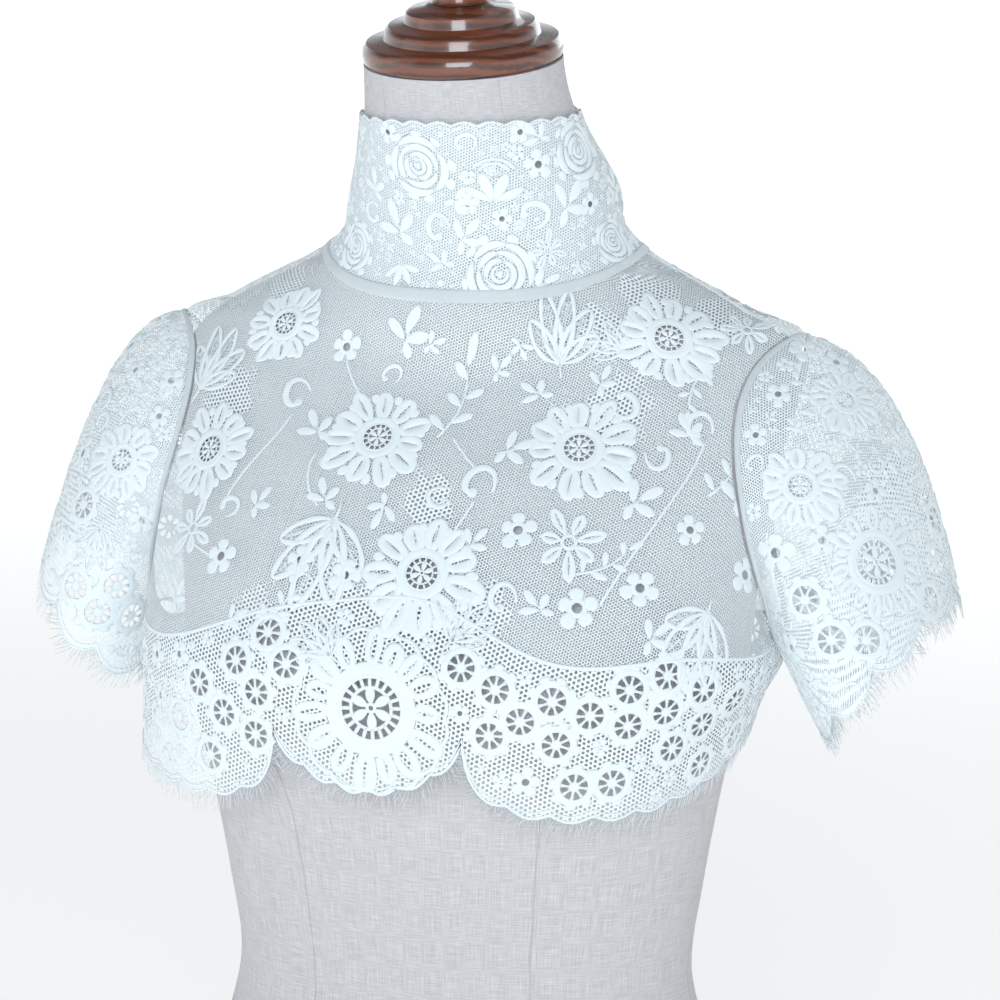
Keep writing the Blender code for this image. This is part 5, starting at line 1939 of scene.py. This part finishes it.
def soft_profile(half_width, half_height):
    """The rounded section of a tape: across and out."""
    angle = np.linspace(0, 2 * math.pi, TAPE_CORNERS, endpoint=False)
    across = np.sign(np.cos(angle)) * np.abs(np.cos(angle)) ** 0.6
    out = np.sign(np.sin(angle)) * np.abs(np.sin(angle)) ** 0.6
    return np.stack((across * half_width, out * half_height), axis=1)


def add_tape(name, rows, closed):
    """A tape whose section follows rows of points, closed on itself or with two ends."""
    count, corners = len(rows[0]), len(rows)
    vertices = np.concatenate(rows)
    faces = []
    for i in range(count if closed else count - 1):
        j = (i + 1) % count
        for k in range(corners):
            m = (k + 1) % corners
            faces.append((k * count + i, m * count + i, m * count + j, k * count + j))
    if not closed:
        faces.append(tuple(k * count for k in range(corners))[::-1])
        faces.append(tuple(k * count + count - 1 for k in range(corners)))
    tape = add_mesh(name, vertices, faces, tape_material(), "tape")
    edit(tape)
    turn_outward()
    return tape


def turned_wood(name, steps, node):
    """A turned piece: a circle drawn out step by step, then leaned with the neck."""
    thing = begin_circle(name, CAP_SIDES, steps[0][0] * METRES)
    bpy.ops.transform.translate(value=(0, 0, steps[0][1] * METRES))
    for (radius, height), (next_radius, next_height) in zip(steps, steps[1:]):
        draw_up((next_height - height) * METRES)
        share = next_radius / radius
        bpy.ops.transform.resize(value=(share, share, 1), center_override=(0, 0, next_height * METRES))
    turn_outward()
    tilt = math.atan(NECK_TILT)
    foot = Vector((0.0, -0.3 * math.sin(tilt), NECK_TOP + SEAM_GAP)) * METRES
    thing.data.transform(Matrix.Translation(foot) @ Matrix.Rotation(tilt, 4, "X"))
    bpy.ops.object.shade_smooth_by_angle(angle=math.radians(35))
    thing.data.materials.append(wood_material())
    settle(thing, "wood")
    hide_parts(node)
    return thing


class LaceSettings(bpy.types.PropertyGroup):
    """Sizes and colour of the lace."""

    net_cell: bpy.props.FloatProperty(
        name="Net cell",
        description="Width of one cell of the net",
        default=0.00165,
        unit="LENGTH",
        precision=5,
    )
    thread_share: bpy.props.FloatProperty(
        name="Thread share",
        description="How much of each cell its thread fills",
        default=0.205,
        min=0.02,
        max=0.4,
    )
    colour: bpy.props.FloatVectorProperty(
        name="Lace colour", description="Colour of the lace", default=(0.86, 0.935, 0.965), subtype="COLOR"
    )
    lash_step: bpy.props.FloatProperty(
        name="Lash spacing",
        description="Distance between eyelash threads",
        default=LASH_STEP * METRES,
        unit="LENGTH",
        precision=5,
    )


class FormSettings(bpy.types.PropertyGroup):
    """Colours and weave of the dress form."""

    linen_colour: bpy.props.FloatVectorProperty(
        name="Linen", description="Colour of the linen", default=(0.61, 0.60, 0.618), subtype="COLOR"
    )
    weave_pace: bpy.props.FloatProperty(
        name="Weave pace", description="How close the linen's threads lie", default=1.35, min=0.2, max=4.0
    )
    wood_colour: bpy.props.FloatVectorProperty(
        name="Wood",
        description="Colour of the varnished wood",
        default=(0.115, 0.031, 0.013),
        subtype="COLOR",
    )


class StageSettings(bpy.types.PropertyGroup):
    """Studio light and paper."""

    key_power: bpy.props.FloatProperty(
        name="Key light", description="Power of the main soft light", default=38.0, unit="POWER"
    )
    fill_power: bpy.props.FloatProperty(
        name="Fill light", description="Power of the softer lights round it", default=3.5, unit="POWER"
    )
    paper_colour: bpy.props.FloatVectorProperty(
        name="Paper", description="Colour of the floor", default=(0.5, 0.5, 0.5), subtype="COLOR"
    )


class LACETOP_OT_form(bpy.types.Operator):
    """Makes the linen dress form"""

    bl_idname = "lacetop.make_form"
    bl_label = "Dress form"

    def execute(self, context):
        """A circle drawn up level by level, then shaped to the form's skin."""
        levels = np.append(np.arange(0, NECK_TOP - 2, FORM_LEVEL_STEP), NECK_TOP)
        form = begin_circle("linen_form", FORM_SIDES, 0.1)
        for low, high in zip(levels, levels[1:]):
            draw_up((high - low) * METRES)
        turn_outward()
        places = np.array([v.co[:] for v in form.data.vertices]) / METRES
        level = places[:, 2]
        turn = np.arctan2(places[:, 1], places[:, 0])
        tilt = NECK_TILT * np.clip((level - 600) / (NECK_TOP - 600), 0, 1)
        neck_share = np.clip((level - 560) / 40, 0, 1)
        middle = read(FORM["centre"], level) * (1 - neck_share) + read(NECK["centre"], level) * neck_share
        starts = np.stack((np.zeros_like(level), middle, level), axis=1)
        rays = np.stack((np.cos(turn), np.sin(turn), tilt * np.sin(turn)), axis=1)
        skin = cast(starts, rays, raw_form_distance)
        form.data.vertices.foreach_set("co", (skin * METRES).ravel())
        layer = form.data.uv_layers.new(name="Cloth")
        for polygon in form.data.polygons:
            around = turn[list(polygon.vertices)]
            if np.ptp(around) > math.pi:
                around = np.where(around < 0, around + 2 * math.pi, around)
            for corner, vertex, angle in zip(polygon.loop_indices, polygon.vertices, around):
                layer.data[corner].uv = (angle * FORM_UV_RADIUS * METRES, level[vertex] * METRES)
        form.data.update()
        bpy.ops.object.shade_smooth_by_angle(angle=math.radians(40))
        form.data.materials.append(linen_material())
        settle(form, "linen")
        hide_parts("dress_form")
        return {"FINISHED"}


class LACETOP_OT_cap(bpy.types.Operator):
    """Makes the turned wooden cap and its knob"""

    bl_idname = "lacetop.make_cap"
    bl_label = "Neck cap"

    def execute(self, context):
        """Turned steps, smooth and varnished."""
        turned_wood("turned_cap", CAP_STEPS, "neck_cap")
        turned_wood("turned_knob", KNOB_STEPS, "cap_knob")
        return {"FINISHED"}


class LACETOP_OT_bodice(bpy.types.Operator):
    """Makes the front and the two backs of lace"""

    bl_idname = "lacetop.make_bodice"
    bl_label = "Front and backs"

    def execute(self, context):
        """Nets with their flowers, wheels and border cords."""
        for name in ("front", "back_left", "back_right"):
            panel = bodice_panel(name)
            coarse = front_border if name == "front" else border_share
            net = add_net(f"{name}_net", panel, NET_SPACING, lambda _, points: coarse(points), 0.0)
            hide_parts(name)
            work = add_lace_work(f"{name}_flowers", panel)
        return {"FINISHED"}


class LACETOP_OT_sleeves(bpy.types.Operator):
    """Makes the two cap sleeves of lace"""

    bl_idname = "lacetop.make_sleeves"
    bl_label = "Sleeves"

    def execute(self, context):
        """Each sleeve is one tube of net with its flowers and wheels."""
        for side, name in ((1, "left"), (-1, "right")):
            panel = sleeve_panel(side)

            def border(flat, _):
                """1 on the coarse ground near the cuff."""
                return np.clip((flat[:, 1] / SLEEVE_DOMAIN[1] - SLEEVE_BORDER) / SLEEVE_FADE, 0, 1)

            net = add_net(f"sleeve_{name}_net", panel, TUBE_SPACING, border, 0.25, merged=True)
            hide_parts(f"sleeve_{name}_front", f"sleeve_{name}_back")
            work = add_lace_work(f"sleeve_{name}_flowers", panel)
        return {"FINISHED"}


class LACETOP_OT_collar(bpy.types.Operator):
    """Makes the stand collar of lace"""

    bl_idname = "lacetop.make_collar"
    bl_label = "Collar"

    def execute(self, context):
        """A band of net with roses, leaves and scrolls."""
        panel = collar_panel()
        net = add_net("collar_net", panel, NET_SPACING, lambda flat, _: np.zeros(len(flat)), 0.5)
        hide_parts("collar")
        work = add_lace_work("collar_roses", panel)
        return {"FINISHED"}


class LACETOP_OT_tapes(bpy.types.Operator):
    """Makes the neck binding and the armhole bands"""

    bl_idname = "lacetop.make_tapes"
    bl_label = "Tapes"

    def execute(self, context):
        """Soft folded tapes over the seams."""
        turn = back_turns(200)
        rows = []
        for across, out in soft_profile(BAND_WIDTH / 2 + 0.1, TAPE_HALF_DEPTH):
            middle = from_chest(neck_seam(turn, across))
            rows.append(middle + cloth_normals(middle) * out)
        binding = add_tape("neck_tape", rows, False)
        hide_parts("neck_binding")
        turn = np.linspace(0, 2 * math.pi, 160, endpoint=False)
        for side, name in ((1, "left"), (-1, "right")):
            cloth = sleeve_cloth(side)
            wrapped = np.where(turn > math.pi, turn - 2 * math.pi, turn)
            rows = []
            for across, out in soft_profile(BAND_WIDTH / 2, TAPE_HALF_DEPTH):
                flat = sleeve_edge(wrapped, side, SEAM_GAP + BAND_WIDTH / 2 + across)
                rows.append(cloth.point(flat, out))
            band = add_tape(f"armhole_tape_{name}", rows, True)
            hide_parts(f"armhole_band_{name}")
        return {"FINISHED"}


def lash_rows(edge, inner):
    """Root points and outward directions of threads, evenly spaced along an edge."""
    step = bpy.context.scene.lace_settings.lash_step / METRES
    along = np.concatenate(([0.0], np.cumsum(np.linalg.norm(np.diff(edge, axis=0), axis=1))))
    at = np.arange(step, along[-1] - step, step)
    roots = np.stack([np.interp(at, along, edge[:, k]) for k in range(3)], axis=1)
    heads = np.stack([np.interp(at, along, inner[:, k]) for k in range(3)], axis=1)
    ahead = np.stack([np.interp(at, along, np.gradient(edge[:, k])) for k in range(3)], axis=1)
    ahead /= np.linalg.norm(ahead, axis=1)[:, None]
    out = roots - heads
    out -= ahead * (out * ahead).sum(axis=1)[:, None]
    return roots, out / np.linalg.norm(out, axis=1)[:, None], ahead


def lash_patches(edge, inner, draw):
    """Fine tapering threads along an edge, each leaning a little its own way."""
    roots, outs, aheads = lash_rows(edge, inner)
    patches = []
    for root, out, ahead in zip(roots, outs, aheads):
        length = draw.uniform(*LASH_LENGTH)
        lean = draw.normal(-0.25, 0.22)
        drop = draw.uniform(0.0, 0.25)
        direction = out + ahead * lean + np.array((0, 0, -drop))
        direction /= np.linalg.norm(direction)
        side = np.cross(direction, ahead)
        side /= np.linalg.norm(side)
        other = np.cross(direction, side)
        rings = []
        for share, size in ((-0.08, 1.0), (0.35, 1.0), (0.7, 0.8), (1.0, 0.35)):
            middle = root + direction * length * share + ahead * lean * length * share**2 * 0.5
            middle = middle - np.array((0, 0, length * 0.12 * share**2))
            for k in range(3):
                angle = 2 * math.pi * k / 3
                rings.append(middle + (side * math.cos(angle) + other * math.sin(angle)) * LASH_RADIUS * size)
        faces = []
        for i in range(3):
            for k in range(3):
                m = (k + 1) % 3
                faces.append((3 * i + k, 3 * i + m, 3 * i + 3 + m, 3 * i + 3 + k))
        faces += [(2, 1, 0), (9, 10, 11)]
        patches.append((np.array(rings), faces))
    return patches


class LACETOP_OT_lashes(bpy.types.Operator):
    """Makes the eyelash threads along the hem and the cuffs"""

    bl_idname = "lacetop.make_lashes"
    bl_label = "Eyelash threads"

    def execute(self, context):
        """Threads that fan out from each scallop."""
        draw = np.random.default_rng(LASH_SEED)
        direction = np.linspace(-179.4, 179.4, 900)
        height = hem_height(direction)
        patches = lash_patches(wrap_point(direction, height), wrap_point(direction, height + 4.0), draw)
        add_mesh("hem_lashes", *joined(patches), woven_material(), "lace")
        turn = np.linspace(-math.pi, math.pi, 420)
        for side, name in ((1, "left"), (-1, "right")):
            cloth = sleeve_cloth(side)
            edge = cloth.point(cuff_edge(turn, side))
            inner = cloth.point(cuff_edge(turn, side, 4.0))
            threads = joined(lash_patches(edge, inner, draw))
            add_mesh(f"cuff_lashes_{name}", *threads, woven_material(), "lace")
        return {"FINISHED"}


class LACETOP_OT_buttons(bpy.types.Operator):
    """Makes the buttons and thread loops of the collar's back opening"""

    bl_idname = "lacetop.make_buttons"
    bl_label = "Buttons"

    def execute(self, context):
        """Small domed buttons, each caught by a loop from the other edge."""
        turn = 0.5 * math.pi - BUTTON_SIDE / COLLAR_RADIUS
        cloth = collar_cloth()
        for number, height in enumerate(BUTTON_HEIGHTS, 1):
            flat = np.array(((turn * COLLAR_RADIUS, height),))
            seat = cloth.point(flat, WALL / 2 + SEAM_GAP)[0]
            normal = cloth.read(cloth.normals, flat)[0]
            self.add_button(number, seat, normal)
            self.add_loop(number, seat, normal)
        return {"FINISHED"}

    def add_button(self, number, seat, normal):
        """A circle drawn up to a rounded dome on the collar."""
        steps = ((0.8, 0.0), (1.0, 0.35), (0.97, 0.52), (0.84, 0.76), (0.6, 0.92), (0.3, 1.0))
        button = begin_circle(f"pearl_button_{number}", 28, BUTTON_RADIUS * steps[0][0] * METRES)
        for (radius, height), (next_radius, next_height) in zip(steps, steps[1:]):
            draw_up((next_height - height) * BUTTON_DEPTH * METRES)
            share = next_radius / radius
            bpy.ops.transform.resize(value=(share, share, 1))
        turn_outward()
        lean = Vector((0, 0, 1)).rotation_difference(Vector(normal)).to_matrix().to_4x4()
        button.data.transform(Matrix.Translation(Vector(seat) * METRES) @ lean)
        bpy.ops.object.shade_smooth_by_angle(angle=math.radians(60))
        button.data.materials.append(button_material())
        settle(button, "button")
        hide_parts(f"collar_button_{number}")

    def add_loop(self, number, seat, normal):
        """A thread loop round a button, sewn to the other edge of the opening."""
        across = np.cross(WORLD_UP, normal)
        across /= np.linalg.norm(across)
        along = np.cross(normal, across)
        turn = np.linspace(-0.72 * math.pi, 0.72 * math.pi, 22)
        reach = BUTTON_RADIUS + 0.5
        circle = [seat + reach * (math.cos(a) * -across + math.sin(a) * along) + normal * 0.5 for a in turn]
        tail = across * (BUTTON_SIDE + 1.5) - normal * 0.6
        path = [seat + tail - along * 1.2] + circle + [seat + tail + along * 1.2]
        curve = bpy.data.curves.new("loop_path", "CURVE")
        curve.dimensions = "3D"
        spline = curve.splines.new("POLY")
        spline.points.add(len(path) - 1)
        for point, place in zip(spline.points, path):
            point.co = (*(np.asarray(place) * METRES), 1.0)
        curve.bevel_depth = 0.35 * METRES
        curve.bevel_resolution = 2
        curve.use_fill_caps = True
        thread = bpy.data.objects.new(f"button_loop_{number}", curve)
        bpy.context.scene.collection.objects.link(thread)
        clear_selection()
        thread.select_set(True)
        bpy.context.view_layer.objects.active = thread
        bpy.ops.object.convert(target="MESH")
        thread = bpy.context.object
        thread.data.materials.append(tape_material())
        settle(thread, "tape")


class LACETOP_OT_stage(bpy.types.Operator):
    """Makes the studio: paper, soft lights and the camera"""

    bl_idname = "lacetop.make_stage"
    bl_label = "Studio"

    def execute(self, context):
        """A round white floor, four soft lights, light from all round and the camera."""
        self.add_paper(context)
        stage = context.scene.stage_settings
        self.add_light("key", (0.5, -2.6, 1.5), stage.key_power, 1.3)
        self.add_light("fill", (-2.0, -1.2, 1.2), stage.fill_power, 1.6)
        self.add_light("top", (0.2, 0.3, 2.4), stage.fill_power, 1.6)
        self.add_light("back", (0.4, 2.4, 1.5), stage.fill_power * 3.6, 1.6)
        self.add_world(context)
        self.add_camera(context)
        return {"FINISHED"}

    def add_paper(self, context):
        """A round floor that reaches past what any view shows."""
        paper = begin_circle("studio_paper", 64, PAPER_RADIUS)
        bpy.ops.transform.translate(value=(0, 0, -0.0005))
        bpy.ops.mesh.inset(thickness=PAPER_RADIUS * 0.9)
        bpy.ops.object.mode_set(mode="OBJECT")
        paper.data.materials.append(studio_material(tuple(context.scene.stage_settings.paper_colour)))

    def add_light(self, name, place, power, size):
        """A square soft light aimed at the chest."""
        light = bpy.data.lights.new(name, "AREA")
        light.shape = "SQUARE"
        light.size = size
        light.energy = power
        light.color = COOL_WHITE
        lamp = bpy.data.objects.new(name, light)
        lamp.location = place
        aim = Vector(CHEST * METRES) - Vector(place)
        lamp.rotation_euler = aim.to_track_quat("-Z", "Y").to_euler()
        bpy.context.scene.collection.objects.link(lamp)

    def add_world(self, context):
        """Soft cool light from all round, white behind the object and dimmer overhead."""
        world = bpy.data.worlds.new("studio_air")
        world.use_nodes = True
        tree = world.node_tree
        height = new_node(tree, "ShaderNodeSeparateXYZ")
        link(tree, new_node(tree, "ShaderNodeTexCoord").outputs["Generated"], height.inputs[0])
        background = tree.nodes["Background"]
        background.inputs["Color"].default_value = (*COOL_WHITE, 1.0)
        link(tree, remap(tree, height.outputs["Z"], *AIR_BAND, *AIR_GLOW), background.inputs["Strength"])
        context.scene.world = world

    def add_camera(self, context):
        """The photograph's camera."""
        right, up, back, eye = camera_axes()
        camera = bpy.data.objects.new("camera", bpy.data.cameras.new("camera"))
        axes = Matrix((right, up, back)).transposed()
        camera.matrix_world = Matrix.Translation(Vector(eye * METRES)) @ axes.to_4x4()
        camera.data.sensor_fit = "HORIZONTAL"
        camera.data.angle = 2 * math.atan(PHOTO_SIZE / 2 / PIXELS_PER_MM / VIEW_DISTANCE)
        camera.data.clip_start, camera.data.clip_end = 0.05, 50.0
        context.scene.collection.objects.link(camera)
        context.scene.camera = camera
        context.scene.view_settings.view_transform = "Standard"


OPERATORS = (
    LACETOP_OT_form,
    LACETOP_OT_cap,
    LACETOP_OT_tapes,
    LACETOP_OT_bodice,
    LACETOP_OT_sleeves,
    LACETOP_OT_collar,
    LACETOP_OT_lashes,
    LACETOP_OT_buttons,
    LACETOP_OT_stage,
)


class LACETOP_PT_panel(bpy.types.Panel):
    """Lists the settings and the makers of each piece"""

    bl_idname = "LACETOP_PT_panel"
    bl_label = "Lace top"
    bl_space_type = "VIEW_3D"
    bl_region_type = "UI"
    bl_category = "Lace top"

    def draw(self, context):
        """Settings first, then a button for each piece."""
        column = self.layout.column()
        for group in SETTINGS:
            settings = getattr(context.scene, group)
            for name in settings.__annotations__:
                column.prop(settings, name)
        for operator in OPERATORS:
            column.operator(operator.bl_idname)


SETTINGS = {"lace_settings": LaceSettings, "form_settings": FormSettings, "stage_settings": StageSettings}


def register():
    """Makes the settings, operators and panel known to Blender."""
    for name, settings in SETTINGS.items():
        bpy.utils.register_class(settings)
        setattr(bpy.types.Scene, name, bpy.props.PointerProperty(type=settings))
    for item in (*OPERATORS, LACETOP_PT_panel):
        bpy.utils.register_class(item)


def unregister():
    """Takes them away again."""
    for item in (LACETOP_PT_panel, *reversed(OPERATORS)):
        bpy.utils.unregister_class(item)
    for name, settings in SETTINGS.items():
        delattr(bpy.types.Scene, name)
        bpy.utils.unregister_class(settings)


def main():
    """Makes every piece in order."""
    register()
    bpy.ops.lacetop.make_form()
    bpy.ops.lacetop.make_cap()
    bpy.ops.lacetop.make_tapes()
    bpy.ops.lacetop.make_bodice()
    bpy.ops.lacetop.make_sleeves()
    bpy.ops.lacetop.make_collar()
    bpy.ops.lacetop.make_lashes()
    bpy.ops.lacetop.make_buttons()
    bpy.ops.lacetop.make_stage()


if __name__ == "__main__":
    main()
